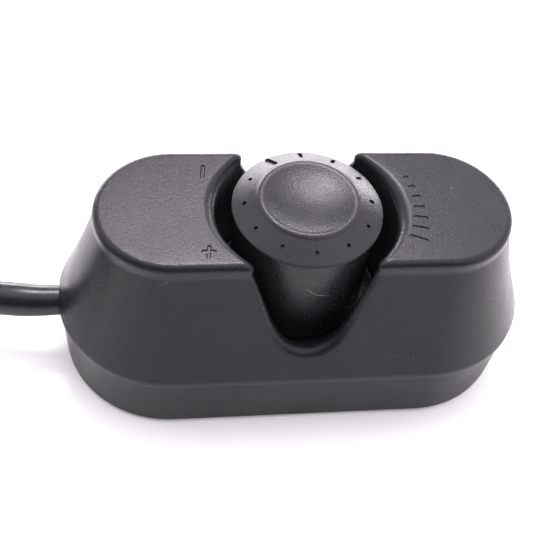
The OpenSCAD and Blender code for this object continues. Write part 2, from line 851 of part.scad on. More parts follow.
module cable_grommet() {
    sleeve_x = wall_x + 0.5;
    inner_wall_x = spine_half + sqrt(pow(base_in_r, 2) - pow(grommet_flange_r, 2));
    flange_x = 0.2 - inner_wall_x;
    color("black")
    translate([0, 0, cord_z])
        rotate([0, 90, 0])
            difference() {
                union() {
                    translate([0, 0, sleeve_x])
                        cylinder(r = grommet_r, h = flange_x + grommet_flange_t - sleeve_x);
                    translate([0, 0, flange_x])
                        cylinder(r = grommet_flange_r, h = grommet_flange_t);
                }
                translate([0, 0, sleeve_x - over])
                    cylinder(r = cord_r + squeeze, h = flange_x + grommet_flange_t - sleeve_x + 2 * over);
            }
}

module lead_end() {
    color("black")
    translate([exit_x, 0, cord_z]) rotate([0, 90, 0])
        cylinder(r = cord_r, h = lead_end_x - exit_x);
}

// A round tube swept along a list of points, as one closed mesh
function unit(v) = v / norm(v);
function heading(p, i) = unit(p[min(i + 1, len(p) - 1)] - p[max(i - 1, 0)]);
function side_of(d) = abs(d[2]) > 0.9 ? unit(cross([0, 1, 0], d)) : unit(cross([0, 0, 1], d));
module tube(path, r, sides = 8) {
    rings = [for (i = [0:len(path) - 1])
        let (d = heading(path, i), s = side_of(d), t = cross(d, s))
            for (k = [0:sides - 1])
                let (a = (k + 0.5) * 360 / sides) path[i] + r * (cos(a) * s + sin(a) * t)];
    last = (len(path) - 1) * sides;
    polyhedron(rings, concat(
        [[for (k = [0:sides - 1]) k]],
        [for (i = [0:len(path) - 2], k = [0:sides - 1])
            let (a = i * sides + k, b = i * sides + (k + 1) % sides) [a, a + sides, b + sides, b]],
        [[for (k = [sides - 1:-1:0]) last + k]]));
}

// A core runs from the lead's end face down to its pad at the board's edge
module core(offset_y, pad_y) {
    pad_x = -board_l / 2 + 1.6;
    start = [lead_end_x, offset_y, cord_z];
    tube([start + [0.05, 0, 0], start + [1.5, 0, 0], start + [3.5, (pad_y - offset_y) * 0.35, -0.3],
        [pad_x - 4, pad_y * 0.8, cord_z - 1.4], [pad_x - 1.4, pad_y, cord_z - 2.6],
        [pad_x - 0.2, pad_y, board_top + 2], [pad_x, pad_y, board_top + 1.2],
        [pad_x, pad_y, board_top + 0.05]], core_r);
}

module core_red() { color("firebrick") core(-1.5, -3.4); }
module core_white() { color("white") core(0, 0); }
module core_black() { color("#303030") core(1.5, 3.4); }

module cord() {
    color("black") tube(cord_route, cord_r);
}

// The outer shape of the hank, hollowed under the strap that holds it
module cord_coil() {
    inset = hank_half_w - cord_r;
    color("black")
    translate([hank_at[0], hank_at[1], 0])
        difference() {
            stadium(concat(
                arc([fold_r + inset, cord_r], cord_r, -90, 0),
                arc([fold_r + inset, hank_h - cord_r], cord_r, 0, 90),
                arc([fold_r - inset, hank_h - cord_r], cord_r, 90, 180),
                arc([fold_r - inset, cord_r], cord_r, 180, 270)), hank_run / 2);
            translate([-tie_w / 2 - 0.5, -fold_r - 2 * hank_half_w, -over])
                cube([tie_w + 1, 4 * hank_half_w, over + tie_t + tie_gap]);
        }
}

// A flat strap round the middle of the hank's front run
module cord_tie() {
    in_w = 2 * (hank_half_w + tie_gap);
    in_h = hank_h - tie_t + tie_gap;
    color("#282828")
    translate([hank_at[0] - tie_w / 2, hank_at[1] - fold_r, 0])
        rotate([90, 0, 90])
            linear_extrude(tie_w)
                difference() {
                    translate([-in_w / 2 - tie_t, 0]) square([in_w + 2 * tie_t, in_h + 2 * tie_t]);
                    translate([-in_w / 2, tie_t]) square([in_w, in_h]);
                }
}

// The lead leaves the hank's inner top strand past the strap, climbs onto the hank, and
// lies on the fold near the housing up to the plug
function eased(u) = u * u * (3 - 2 * u);
module cord_tail() {
    color("black")
    tube(concat(
        [for (i = [0:3]) let (u = i / 4)
            [route_end[0] - tail_climb * (1 - u), hank_at[1] - fold_r + cord_r * (1 - eased(u)),
                tail_z + (tail_ride - tail_z) * eased(u)]],
        [for (i = [0:8]) let (a = 22.5 * i - 90)
            [route_end[0] + fold_r * cos(a), hank_at[1] + fold_r * sin(a),
                tail_ride + (plug_z - tail_ride) * eased(i / 8)]],
        [for (i = [1:2])
            [route_end[0] - tail_run * i / 2, plug_y, plug_z]]), cord_r);
}

// Turns a piece that is drawn up Z to lie along the plug's axis, from a distance along it
module along_plug(dist) {
    translate([plug_x - dist, plug_y, plug_z]) rotate([0, -90, 0]) children();
}

module plug_body() {
    color("black")
    along_plug(0)
        difference() {
            union() {
                cylinder(r1 = boot_r, r2 = plug_r - 0.3, h = boot_len);
                translate([0, 0, boot_len]) cylinder(r = plug_r, h = grip_len - 1);
                translate([0, 0, boot_len + grip_len - 1]) cylinder(r1 = plug_r, r2 = plug_r - 1, h = 1);
            }
            for (i = [0:2])
                translate([0, 0, 1.6 + 1.8 * i])
                    difference() {
                        cylinder(r = plug_r + over, h = 0.7);
                        translate([0, 0, -over]) cylinder(r = cord_r + 0.2, h = 0.7 + 2 * over);
                    }
        }
}

// Sleeve, ring and tip, parted by two insulators
module plug_contacts() {
    color("silver") {
        along_plug(contact_at) cylinder(r = pin_r, h = sleeve_len);
        along_plug(contact_at + sleeve_len + spacer_len) cylinder(r = pin_r, h = ring_len);
        along_plug(contact_at + sleeve_len + ring_len + 2 * spacer_len)
            rotate_extrude()
                polygon([[0, 0], [pin_r, 0], [pin_r, 0.6], [pin_r - 0.35, 1.2], [pin_r, 2],
                    [pin_r, 2.4], [pin_r * 0.35, tip_len], [0, tip_len]]);
    }
}

module plug_insulators() {
    color("#303030") {
        along_plug(contact_at + sleeve_len) cylinder(r = pin_r - 0.03, h = spacer_len);
        along_plug(contact_at + sleeve_len + ring_len + spacer_len)
            cylinder(r = pin_r - 0.03, h = spacer_len);
    }
}

upper_shell();
base_cover();
volume_knob();
hub_spring_ring();
pot_shaft();
pot_rotor();
wiper_springs();
shaft_clip();
pot_bushing();
pot_case();
pot_wafer();
pot_terminals();
pot_washer();
pot_nut();
circuit_board();
board_screws();
housing_screws();
foot_pads();
cable_grommet();
lead_end();
clamp_bar();
clamp_screws();
core_red();
core_white();
core_black();
cord();
cord_coil();
cord_tie();
cord_tail();
plug_body();
plug_contacts();
plug_insulators();
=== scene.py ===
"""Dresses a wired desk remote for a subwoofer: its flared housing with the finger
notches, the knob, the folded lead with its plug, every finish, and the studio round it.
Lengths are in metres, in the part's own frame: Z up, the front towards -Y and the lead
leaving towards -X."""

import json
import math

import bmesh
import bpy
from mathutils import Matrix, Vector
from mathutils.geometry import convex_hull_2d


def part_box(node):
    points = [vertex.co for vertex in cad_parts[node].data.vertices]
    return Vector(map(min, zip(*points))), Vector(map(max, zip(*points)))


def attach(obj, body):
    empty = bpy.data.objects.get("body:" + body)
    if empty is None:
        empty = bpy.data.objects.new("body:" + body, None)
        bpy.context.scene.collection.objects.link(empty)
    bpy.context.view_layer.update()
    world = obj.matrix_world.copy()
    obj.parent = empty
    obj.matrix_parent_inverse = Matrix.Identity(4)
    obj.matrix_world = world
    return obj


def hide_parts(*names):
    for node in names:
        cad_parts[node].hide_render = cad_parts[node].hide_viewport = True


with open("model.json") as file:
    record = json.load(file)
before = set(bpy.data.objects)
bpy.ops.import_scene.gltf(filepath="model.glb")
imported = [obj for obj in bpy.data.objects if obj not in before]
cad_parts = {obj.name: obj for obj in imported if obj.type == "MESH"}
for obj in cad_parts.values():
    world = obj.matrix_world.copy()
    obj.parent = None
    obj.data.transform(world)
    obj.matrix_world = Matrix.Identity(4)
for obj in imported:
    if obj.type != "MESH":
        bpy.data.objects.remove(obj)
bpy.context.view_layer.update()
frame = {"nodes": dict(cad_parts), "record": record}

bl_info = {
    "name": "Wired Volume Remote",
    "version": (1, 0, 0),
    "blender": (4, 5, 0),
    "location": "View3D > Sidebar > Remote",
    "description": "Builds a wired desk remote with a volume knob, its lead and a studio",
    "category": "Object",
}

MM = 0.001
# Vertices closer than this are one vertex
WELD = 1e-6
# How far a cutting tool runs past the face that it cuts
OVER = 0.5 * MM
# Edges that bend more than this stay crisp
CRISP = math.radians(32)

# Directions of the four copies of a quarter that is mirrored about X and Y
QUARTERS = ((1, 1), (-1, 1), (1, -1), (-1, -1))

# The housing screws: their heads, the bosses and towers that they join, and the holes
SCREW_HEAD_R = 2.6 * MM
HEAD_BORE_R = 2.9 * MM
HEAD_SEAT = 2.4 * MM
SCREW_HOLE_R = 1.6 * MM
SCREW_PILOT_R = 1.48 * MM
SCREW_PILOT_RUN = 11 * MM
BOSS_R = 3.0 * MM
BOSS_TOP = 22.5 * MM
TOWER_R = 3.8 * MM
# How far below the parting line a boss stands on its tower
BOSS_DROP = 4.6 * MM

# The posts that the circuit board hangs on
BOARD_POST_AT = (13 * MM, 7 * MM)
BOARD_POST_R = 2.4 * MM
BOARD_PILOT_R = 1.13 * MM
BOARD_PILOT_RUN = 5.4 * MM

BUSHING_HOLE_R = 3.6 * MM
CLAMP_HEAD_R = 2.1 * MM
CLAMP_PILOT_R = 1.23 * MM
FOOT_R = 4.0 * MM
FOOT_GAP = 0.1 * MM
LEAD_HOLE_R = 3.25 * MM
LEAD_HOLE_RUN = 5.5 * MM


def length_value(name, description, default):
    return bpy.props.FloatProperty(
        name=name, description=description, default=default * MM, unit="LENGTH", precision=5)


def colour_value(name, description, default):
    return bpy.props.FloatVectorProperty(
        name=name, description=description, default=default,
        subtype="COLOR", size=3, min=0.0, max=1.0)


class HousingSizes(bpy.types.PropertyGroup):
    part_h: length_value("Parting line", "Height of the parting line above the table", 12.6)
    lip_r: length_value("Top radius", "Plan radius of the top face's rim", 12.2)
    lip_round: length_value("Rim rounding", "Rounding of the top rim", 1.2)
    neck_h: length_value("Neck", "Height of the upright band under the rim", 1.2)
    cove_r: length_value("Cove", "Radius of the hollow between neck and flare", 3.0)
    edge_round: length_value("Bottom rounding", "Rounding of the upper shell's bottom edge", 0.35)
    foot_h: length_value("Foot", "Height of the upright band above the parting line", 1.0)
    wall: length_value("Wall", "Thickness of the upper shell's wall", 2.1)
    top_wall: length_value("Top", "Thickness of the upper shell's top", 2.2)
    rim_wall: length_value("Rim wall", "Thickness of the shell's rim outside the base's lip", 1.2)
    base_inset: length_value("Base inset", "How far the base stands in at the parting line", 0.35)
    base_draft: length_value("Base draft", "How much the base narrows down to the table", 0.15)
    base_round: length_value("Base rounding", "Rounding of the base's bottom edge", 0.7)
    base_floor: length_value("Base floor", "Thickness of the base's floor", 2.0)
    lip_h: length_value("Base lip", "Height of the base's lip above the parting line", 1.4)
    groove_d: length_value("Groove depth", "Depth of the groove at the parting line", 0.5)
    groove_h: length_value("Groove height", "Height of the groove at the parting line", 0.25)
    well_r: length_value("Well", "Radius of the well that the knob stands in", 14.6)
    well_wall: length_value("Well wall", "Thickness of the well's wall", 2.05)
    well_floor: length_value("Well floor", "Thickness of the well's floor", 2.0)
    well_cove: length_value("Well cove", "Rounding between the well's wall and floor", 0.5)
    well_round: length_value("Well rounding", "Rounding between the well and the top", 1.9)
    corner_round: length_value("Corner rounding", "That rounding at the corners of a notch", 1.1)
    notch_round: length_value("Notch rounding", "Rounding of a notch's edge at the neck", 0.75)
    tip_round: length_value("Notch foot", "Rounding of a notch's edge at its foot", 1.5)
    sign_depth: length_value("Sign depth", "Depth of the signs in the top", 0.2)
    bow: bpy.props.FloatProperty(
        name="Bow", description="How far the flare curves out, as a share of its width",
        default=0.2)


class KnobSizes(bpy.types.PropertyGroup):
    rim_r: length_value("Rim", "Radius of the knob's rim", 12.0)
    skirt_r: length_value("Skirt", "Radius of the skirt under the rim", 11.5)
    skirt_wall: length_value("Skirt wall", "Thickness of the skirt", 1.6)
    rim_edge: length_value("Rim edge", "Height of the rim's edge", 0.9)
    rim_tuck: length_value("Rim tuck", "How far the rim's edge leans in at its foot", 0.3)
    rim_h: length_value("Rim height", "Height of the rim above the table", 34.55)
    crest_r: length_value("Crest", "Radius of the raised ring's crest", 7.5)
    crest_round: length_value("Crest rounding", "Rounding of the crest's outside", 1.0)
    crest_inner: length_value("Crest inside", "Rounding from the crest into the dish", 1.8)
    crest_hollow: length_value("Crest foot", "Radius of the hollow round the crest's foot", 2.2)
    crest_turn: bpy.props.FloatProperty(
        name="Crest side", description="Steepest slope of the crest's outside",
        default=math.radians(40), subtype="ANGLE")
    dish_depth: length_value("Dish", "Depth of the finger dish below the crest", 1.1)
    cap_wall: length_value("Cap", "Thickness of the top at its middle", 2.4)
    hub_r: length_value("Hub", "Outer radius of the hub", 4.8)
    bore_r: length_value("Bore", "Radius of the hub's bore", 3.05)
    mark_r: length_value("Mark circle", "Radius of the circle of marks", 10.1)
    mark_w: length_value("Mark width", "Width of a mark", 0.7)
    mark_len: length_value("Mark length", "Length of the shortest mark", 0.74)
    mark_grow: length_value("Mark growth", "How much longer the mark next to the pointer is", 1.8)
    mark_depth: length_value("Mark depth", "Depth of a mark", 0.5)
    pointer_len: length_value("Pointer", "Length of the pointer bar", 3.8)
    pointer_w: length_value("Pointer width", "Width of the pointer bar", 1.3)
    pointer_turn: bpy.props.FloatProperty(
        name="Pointer direction", description="Direction of the pointer as the knob stands",
        default=math.radians(120), subtype="ANGLE")
    marks: bpy.props.IntProperty(
        name="Marks", description="Number of marks, the pointer included", default=12)


class LeadSizes(bpy.types.PropertyGroup):
    diameter: length_value("Diameter", "Diameter of the lead", 5.2)
    length: length_value("Length", "Length of the lead from the housing to the plug", 1500)
    swell: bpy.props.FloatProperty(
        name="Swell", description="How much thicker the jacket is where it leaves the housing",
        default=0.12)
    fold_r: length_value("Fold", "Radius of the hank's folds, between its columns", 18.2)
    hank_run: length_value("Run", "Length of the hank's straight runs", 58)
    strap_t: length_value("Strap thickness", "Thickness of the strap round the hank", 0.8)
    strap_w: length_value("Strap width", "Width of the strap round the hank", 8.0)


class FinishColours(bpy.types.PropertyGroup):
    shell: colour_value("Shell", "Colour of the upper shell", (0.0105, 0.0108, 0.0128))
    base: colour_value("Base", "Colour of the base cover", (0.0098, 0.0100, 0.0118))
    knob: colour_value("Knob", "Colour of the knob", (0.0180, 0.0178, 0.0200))
    jacket: colour_value("Jacket", "Colour of the lead's jacket", (0.0045, 0.0060, 0.0085))
    dust: colour_value("Dust", "Colour of dust and scuffs", (0.32, 0.30, 0.30))


class StudioSettings(bpy.types.PropertyGroup):
    camera_at: bpy.props.FloatVectorProperty(
        name="Camera place", description="Where the camera stands", size=3,
        default=(-24.270 * MM, -87.484 * MM, 134.372 * MM), subtype="TRANSLATION", unit="LENGTH")
    camera_turn: bpy.props.FloatProperty(
        name="Camera turn", description="How far the camera looks to the right of the back",
        default=math.radians(12.34), subtype="ANGLE")
    camera_down: bpy.props.FloatProperty(
        name="Camera tilt", description="How far the camera looks down from the horizon",
        default=math.radians(52.14), subtype="ANGLE")
    camera_roll: bpy.props.FloatProperty(
        name="Camera roll", description="How far the camera leans to the left",
        default=math.radians(8.52), subtype="ANGLE")
    lens: bpy.props.FloatProperty(
        name="Lens", description="Focal length for a 36 mm sensor, in millimetres", default=57.92)
    sky: bpy.props.FloatProperty(
        name="Surround", description="Brightness of the white surround behind", default=2.5,
        min=0.0)
    softbox: bpy.props.FloatProperty(
        name="Softbox", description="Power of the softbox behind and above, in watts",
        default=7.0, min=0.0)
    horizon: bpy.props.FloatProperty(
        name="Horizon", description="Power of the low strip of light far behind, in watts",
        default=16.0, min=0.0)
    front_shade: bpy.props.FloatProperty(
        name="Front shade", description="How much darker the surround is in front, as a share",
        default=0.88, min=0.0, max=1.0)


def mix(a, b, share):
    return a + (b - a) * share


def ease(share):
    share = min(1.0, max(0.0, share))
    return share * share * (3 - 2 * share)


def arc(centre, radius, start, end, steps):
    """Points (radius, height) round a centre, from one angle to another, in degrees."""
    return [(centre[0] + radius * math.cos(a), centre[1] + radius * math.sin(a))
            for a in (math.radians(mix(start, end, i / steps)) for i in range(steps + 1))]


def solve(function, low, high):
    """Where a function that is positive at low and negative at high crosses zero."""
    for _ in range(60):
        middle = (low + high) / 2
        if function(middle) > 0:
            low = middle
        else:
            high = middle
    return (low + high) / 2


def add_grid(bm, rows, flip=False):
    """Quads between rows of points. Where points fall together, quads become triangles."""
    verts = [[bm.verts.new(p) for p in row] for row in rows]
    for lower, upper in zip(verts, verts[1:]):
        for i in range(len(lower) - 1):
            quad = [lower[i], lower[i + 1], upper[i + 1], upper[i]]
            bm.faces.new(reversed(quad) if flip else quad)


def weld(bm):
    bmesh.ops.remove_doubles(bm, verts=bm.verts, dist=WELD)
    bmesh.ops.dissolve_degenerate(bm, edges=bm.edges, dist=WELD / 10)
    bmesh.ops.recalc_face_normals(bm, faces=bm.faces)


def solid(name, bm):
    """A new object from a closed mesh."""
    weld(bm)
    mesh = bpy.data.meshes.new(name)
    bm.to_mesh(mesh)
    bm.free()
    piece = bpy.data.objects.new(name, mesh)
    bpy.context.scene.collection.objects.link(piece)
    return piece


def lathe(name, profile, steps, place=Matrix.Identity(4)):
    """Turns a profile (radius, height) about an axis. It starts and ends on the axis."""
    bm = bmesh.new()
    turns = [math.tau * i / steps for i in range(steps)] + [0.0]
    add_grid(bm, [[place @ Vector((r * math.cos(a), r * math.sin(a), z)) for a in turns]
                  for r, z in profile])
    return solid(name, bm)


def post(name, x, y, radius, low, high, steps=48):
    return lathe(name, [(0, low), (radius, low), (radius, high), (0, high)], steps,
                 Matrix.Translation((x, y, 0)))


def block(name, low, high):
    """A rectangular bar between two corners."""
    bm = bmesh.new()
    x, y = (low[0], high[0]), (low[1], high[1])
    ring = [(x[0], y[0]), (x[1], y[0]), (x[1], y[1]), (x[0], y[1])]
    lower = [bm.verts.new((*p, low[2])) for p in ring]
    upper = [bm.verts.new((*p, high[2])) for p in ring]
    bm.faces.new(lower)
    bm.faces.new(upper)
    for i in range(4):
        bm.faces.new((lower[i - 1], lower[i], upper[i], upper[i - 1]))
    return solid(name, bm)


def stadium(name, profile, spine, straight_steps, arc_steps):
    """Runs a profile (radius, height) round a plan with two round ends."""
    plan = []
    for side in (1, -1):
        plan += [(side * mix(-spine, spine, i / straight_steps), 0, -side)
                 for i in range(straight_steps)]
        plan += [(side * spine, side * math.sin(a), -side * math.cos(a))
                 for a in (math.pi * i / arc_steps for i in range(arc_steps))]
    plan.append(plan[0])
    bm = bmesh.new()
    add_grid(bm, [[(x + r * dx, r * dy, z) for x, dx, dy in plan] for r, z in profile])
    return solid(name, bm)


def slot_cutter(name, length, width, depth, place, draft=0.09 * MM, steps=10):
    """A tool with round ends for an engraved stroke along X, with leaning walls."""
    bm = bmesh.new()
    rings = []
    for height, grow in ((-depth, -draft), (OVER, draft * OVER / depth)):
        radius = width / 2 + grow
        ring = []
        for end in (1, -1):
            for i in range(steps + 1):
                a = math.pi * (i / steps - 0.5)
                ring.append(Vector((end * (length - width) / 2 + end * radius * math.cos(a),
                                    end * radius * math.sin(a), height)))
        rings.append([place @ p for p in ring])
    lower, upper = ([bm.verts.new(p) for p in ring] for ring in rings)
    bm.faces.new(lower)
    bm.faces.new(upper)
    for i in range(len(lower)):
        bm.faces.new((lower[i - 1], lower[i], upper[i], upper[i - 1]))
    return solid(name, bm)


def carve(piece, tools, operation="DIFFERENCE"):
    """Cuts tools out of a piece, or joins them on, and clears the tools away."""
    for tool in tools:
        step = piece.modifiers.new("carve", "BOOLEAN")
        step.object = tool
        step.operation = operation
        step.solver = "MANIFOLD"
        done = bpy.data.meshes.new_from_object(
            piece.evaluated_get(bpy.context.evaluated_depsgraph_get()))
        piece.modifiers.clear()
        if not done.polygons:
            raise RuntimeError(f"{tool.name} leaves nothing of {piece.name}")
        piece.data = done
        bpy.data.objects.remove(tool)
    return piece


def finish_piece(piece, name, body, slot, node):
    """Names a piece, shades it smooth with crisp edges, and ties it to the frame."""
    piece.name = name
    piece.data.name = name
    piece.data.materials.clear()
    piece.data.materials.append(material_of(slot))
    piece.data.shade_smooth()
    piece.data.set_sharp_from_angle(angle=CRISP)
    normals = piece.modifiers.new("flat faces", "WEIGHTED_NORMAL")
    normals.keep_sharp = True
    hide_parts(node)
    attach(piece, body)
    return piece


class Wall:
    """The upper shell's outside, as plan radius against height, with its normals."""

    def __init__(self, sizes):
        low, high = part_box("upper_shell")
        self.sizes = sizes
        self.shoulder = high.y
        self.spine = high.x - high.y
        self.top = high.z
        self.flare_low = sizes.part_h + sizes.foot_h
        self.flare_top = self.top - sizes.lip_round - sizes.neck_h
        self.well_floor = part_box("pot_washer")[0].z
        self.cove_foot = solve(self.cove_miss, mix(self.flare_low, self.flare_top, 0.8),
                               self.flare_top)
        normal = self.flare(self.cove_foot)[1]
        self.cove_z = self.cove_foot + sizes.cove_r * normal.y

    def flare(self, z):
        """Plan radius of the flared wall at a height, and its outward normal."""
        rise = self.flare_top - self.flare_low
        width = self.shoulder - self.sizes.lip_r
        u = (z - self.flare_low) / rise
        bow = self.sizes.bow
        lean = width * (1 + bow * (1 - 2 * u)) / rise
        return self.shoulder - width * (u + bow * u * (1 - u)), Vector((1, lean)).normalized()

    def cove_miss(self, z):
        radius, normal = self.flare(z)
        return radius + self.sizes.cove_r * (normal.x - 1) - self.sizes.lip_r

    def tip_miss(self, z):
        radius, normal = self.flare(z)
        return radius - self.sizes.tip_round * (normal.x + 1) - self.sizes.well_r

    def touch(self, radius, z, normal, ball):
        """The ball that rolls between the front wall and the well: centre and contacts."""
        reach = self.sizes.well_r + ball
        y = -(radius - ball * normal.x)
        centre = Vector((math.sqrt(max(0, reach * reach - y * y)), y, z - ball * normal.y))
        return centre, Vector((0, -normal.x, normal.y)), ball

    def notch_rows(self, flare_steps=34, cove_steps=8, lip_steps=8, samples=600):
        """Places on the wall from a notch's foot to the rim's top: (radius, height, touch).
        On the flare they lie evenly along the notch's edge."""
        s = self.sizes
        tip = solve(self.tip_miss, self.flare_low, self.flare_top)

        def on_flare(z):
            radius, normal = self.flare(z)
            share = (z - tip) / (self.flare_top - tip)
            return radius, z, self.touch(radius, z, normal,
                                         mix(s.tip_round, s.notch_round, ease(share * 1.2)))

        fine = [on_flare(mix(tip, self.cove_foot, (i / samples) ** 2)) for i in range(samples + 1)]
        run = [0.0]
        for before, after in zip(fine, fine[1:]):
            run.append(run[-1] + (after[2][0] - before[2][0]).length)
        rows, at = [], 0
        for i in range(flare_steps + 1):
            while at < samples and run[at] < run[-1] * i / flare_steps - 1e-12:
                at += 1
            rows.append(fine[at])
        rows[0], rows[-1] = fine[0], fine[-1]
        cove_centre = (s.lip_r + s.cove_r, self.cove_z)
        normal = self.flare(self.cove_foot)[1]
        start = 180 + math.degrees(math.atan2(normal.y, normal.x))
        for r, z in arc(cove_centre, s.cove_r, start, 180, cove_steps)[1:]:
            normal = (Vector(cove_centre) - Vector((r, z))).normalized()
            rows.append((r, z, self.touch(r, z, normal, s.notch_round)))
        lip_centre = (s.lip_r - s.lip_round, self.top - s.lip_round)
        for i in range(lip_steps + 1):
            a = math.pi / 2 * i / lip_steps
            normal = Vector((math.cos(a), math.sin(a)))
            r, z = Vector(lip_centre) + s.lip_round * normal
            ball = mix(s.notch_round, s.corner_round, ease(i / lip_steps))
            rows.append((r, z, self.touch(r, z, normal, ball)))
        return rows, flare_steps


def outer_shell(wall):
    """The upper shell as a closed body: outside, rounded notch edges, top and well."""
    s = wall.sizes
    straight, bend, across = 22, 26, 10
    notch, flare_rows = wall.notch_rows()
    tip_z, cove_foot = notch[0][1], wall.cove_foot

    # The wall's rows from the middle of the bottom up: (radius, height, start along X)
    edge = arc((wall.shoulder - s.edge_round, s.part_h + s.edge_round), s.edge_round, -90, 0, 6)
    lower = [(0, s.part_h)] + edge
    lower += [(wall.flare(z)[0], z)
              for z in (mix(wall.flare_low, tip_z, i / 10) for i in range(10))]
    rows = [[(r, z, 0.0)] * (straight + 1) for r, z in lower]
    for i, (radius, z, (centre, _, _)) in enumerate(notch):
        row = []
        for j in range(straight + 1):
            r, height = radius, z
            if i < flare_rows:
                height = mix(z, mix(tip_z, cove_foot, i / flare_rows), ease(j / straight * 1.5))
                r = wall.flare(height)[0]
            row.append((r, height, centre.x))
        rows.append(row)

    def wall_point(row, j):
        if j <= straight:
            r, z, start = row[j]
            return Vector((mix(start, wall.spine, j / straight), -r, z))
        r, z, _ = row[straight]
        a = math.pi / 2 * (j - straight) / bend
        return Vector((wall.spine + r * math.sin(a), -r * math.cos(a), z))

    outside = [[wall_point(row, j) for j in range(straight + bend + 1)] for row in rows]

    # The edge's stations: up the notch, then round the wing on the top face
    stations = [touch for _, _, touch in notch]
    corner = stations[-1][0]
    corner_turn = math.atan2(corner.y, corner.x)
    for i in range(1, straight + bend + 1):
        share = i / (straight + bend)
        turn = corner_turn * (1 - share)
        ball = mix(s.corner_round, s.well_round, ease(share * 1.3))
        centre = Vector(((s.well_r + ball) * math.cos(turn), (s.well_r + ball) * math.sin(turn),
                         wall.top - ball))
        stations.append((centre, Vector((0, 0, 1)), ball))

    roll = []
    for centre, outward, ball in stations:
        inward = -Vector((centre.x, centre.y, 0)).normalized()
        roll.append([centre + ball * outward.slerp(inward, i / across)
                     for i in range(across + 1)])

    # The top face, from the wing's edge out to the rim
    wing_edge = [ring[0] for ring in roll[len(notch) - 1:]]
    rim = outside[-1]
    top = [[a.lerp(b, i / 6) for a, b in zip(wing_edge, rim)] for i in range(7)]

    # The well, from the edge down its wall and over the cove to the middle of its floor
    well = []
    cove = arc((s.well_r - s.well_cove, wall.well_floor + s.well_cove), s.well_cove, 0, -90, 6)
    for ring in roll:
        start = ring[-1]
        way = Vector((start.x, start.y, 0)).normalized()
        foot = cove[0][1]
        line = [way * s.well_r + Vector((0, 0, mix(start.z, foot, i / 8))) for i in range(8)]
        line += [way * r + Vector((0, 0, z)) for r, z in cove]
        line.append(Vector((0, 0, wall.well_floor)))
        well.append(line)

    bm = bmesh.new()
    for sx, sy in QUARTERS:
        for grid in (outside, roll, top, well):
            add_grid(bm, [[(sx * p.x, sy * p.y, p.z) for p in row] for row in grid], sx * sy < 0)
    return solid("upper", bm)


def sign_cutters(wall):
    """The minus and plus beside the knob, and a scale of growing bars on the other wing."""
    s = wall.sizes
    width, draft = 0.7 * MM, 0.16 * MM

    def stroke(name, x, y, length, turn):
        place = Matrix.Translation((x, y, wall.top)) @ Matrix.Rotation(turn, 4, "Z")
        return slot_cutter(name, length, width, s.sign_depth, place, draft)

    # The two signs' strokes: x, y and length in millimetres, and direction in degrees
    signs = {"minus": (-16.12, 7.41, 2.95, 84), "plus_long": (-16.02, -8.89, 2.6, 84),
             "plus_cross": (-16.02, -8.82, 2.3, 0)}
    cutters = [stroke(name, x * MM, y * MM, length * MM, math.radians(turn))
               for name, (x, y, length, turn) in signs.items()]
    bars, scale_r = 7, 17.9 * MM
    back_turn, front_turn = 19, -23
    shortest, longest = 0.9, 3.1
    for i in range(bars):
        share = i / (bars - 1)
        turn = math.radians(mix(back_turn, front_turn, share))
        cutters.append(stroke(f"bar_{i}", scale_r * math.cos(turn), scale_r * math.sin(turn),
                              mix(shortest, longest, share) * MM, turn))
    return cutters


def screw_places():
    """The four housing screws' axes, one head's radius inside the screws' node's box."""
    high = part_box("housing_screws")[1]
    x, y = high.x - SCREW_HEAD_R, high.y - SCREW_HEAD_R
    return [(sx * x, sy * y) for sx, sy in QUARTERS]


class REMOTE_OT_upper_shell(bpy.types.Operator):
    """Model the flared upper shell with its well, finger notches and signs"""
    bl_idname = "remote.upper_shell"
    bl_label = "Upper Shell"

    def execute(self, context):
        s = context.scene.remote_housing
        wall = Wall(s)
        tube_r = s.well_r + s.well_wall
        mount = wall.well_floor - s.well_floor
        rim_r = wall.shoulder - s.rim_wall
        lip_gap = 0.2 * MM
        rim_top = s.part_h + s.lip_h + lip_gap
        inner_top = wall.top - s.top_wall

        lining = [(wall.flare(min(z, wall.flare_top))[0] - s.wall, z)
                  for z in (mix(rim_top, inner_top, i / 24) for i in range(25))]
        cavity = stadium("cavity", [(0, s.part_h - OVER), (rim_r, s.part_h - OVER),
                                    (rim_r, rim_top)] + lining + [(0, inner_top)],
                         wall.spine, 8, 64)
        carve(cavity, [post("tube", 0, 0, tube_r, mount - OVER, wall.top, 144)])
        shell = carve(outer_shell(wall), [cavity])

        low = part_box("upper_shell")[0]
        floor_disc = post("floor_disc", 0, 0, tube_r, mount, s.part_h + OVER, 144)
        carve(shell, [floor_disc], "UNION")
        boss_low = s.part_h - BOSS_DROP
        bosses = [post("boss", x, y, BOSS_R, boss_low, BOSS_TOP) for x, y in screw_places()]
        board = [(side * BOARD_POST_AT[0], side * BOARD_POST_AT[1]) for side in (1, -1)]
        bosses += [post("board_post", x, y, BOARD_POST_R, low.z, mount + OVER)
                   for x, y in board]
        carve(shell, bosses, "UNION")

        holes = [post("bushing_hole", 0, 0, BUSHING_HOLE_R, mount - OVER,
                      wall.well_floor + OVER)]
        holes += [post("pilot", x, y, SCREW_PILOT_R, boss_low - OVER,
                       boss_low + SCREW_PILOT_RUN, 32) for x, y in screw_places()]
        holes += [post("board_pilot", x, y, BOARD_PILOT_R, low.z - OVER,
                       low.z + BOARD_PILOT_RUN, 32) for x, y in board]
        holes.append(lead_hole())
        carve(shell, holes + sign_cutters(wall))
        finish_piece(shell, "housing_upper", "root", "shell_plastic", "upper_shell")
        return {"FINISHED"}


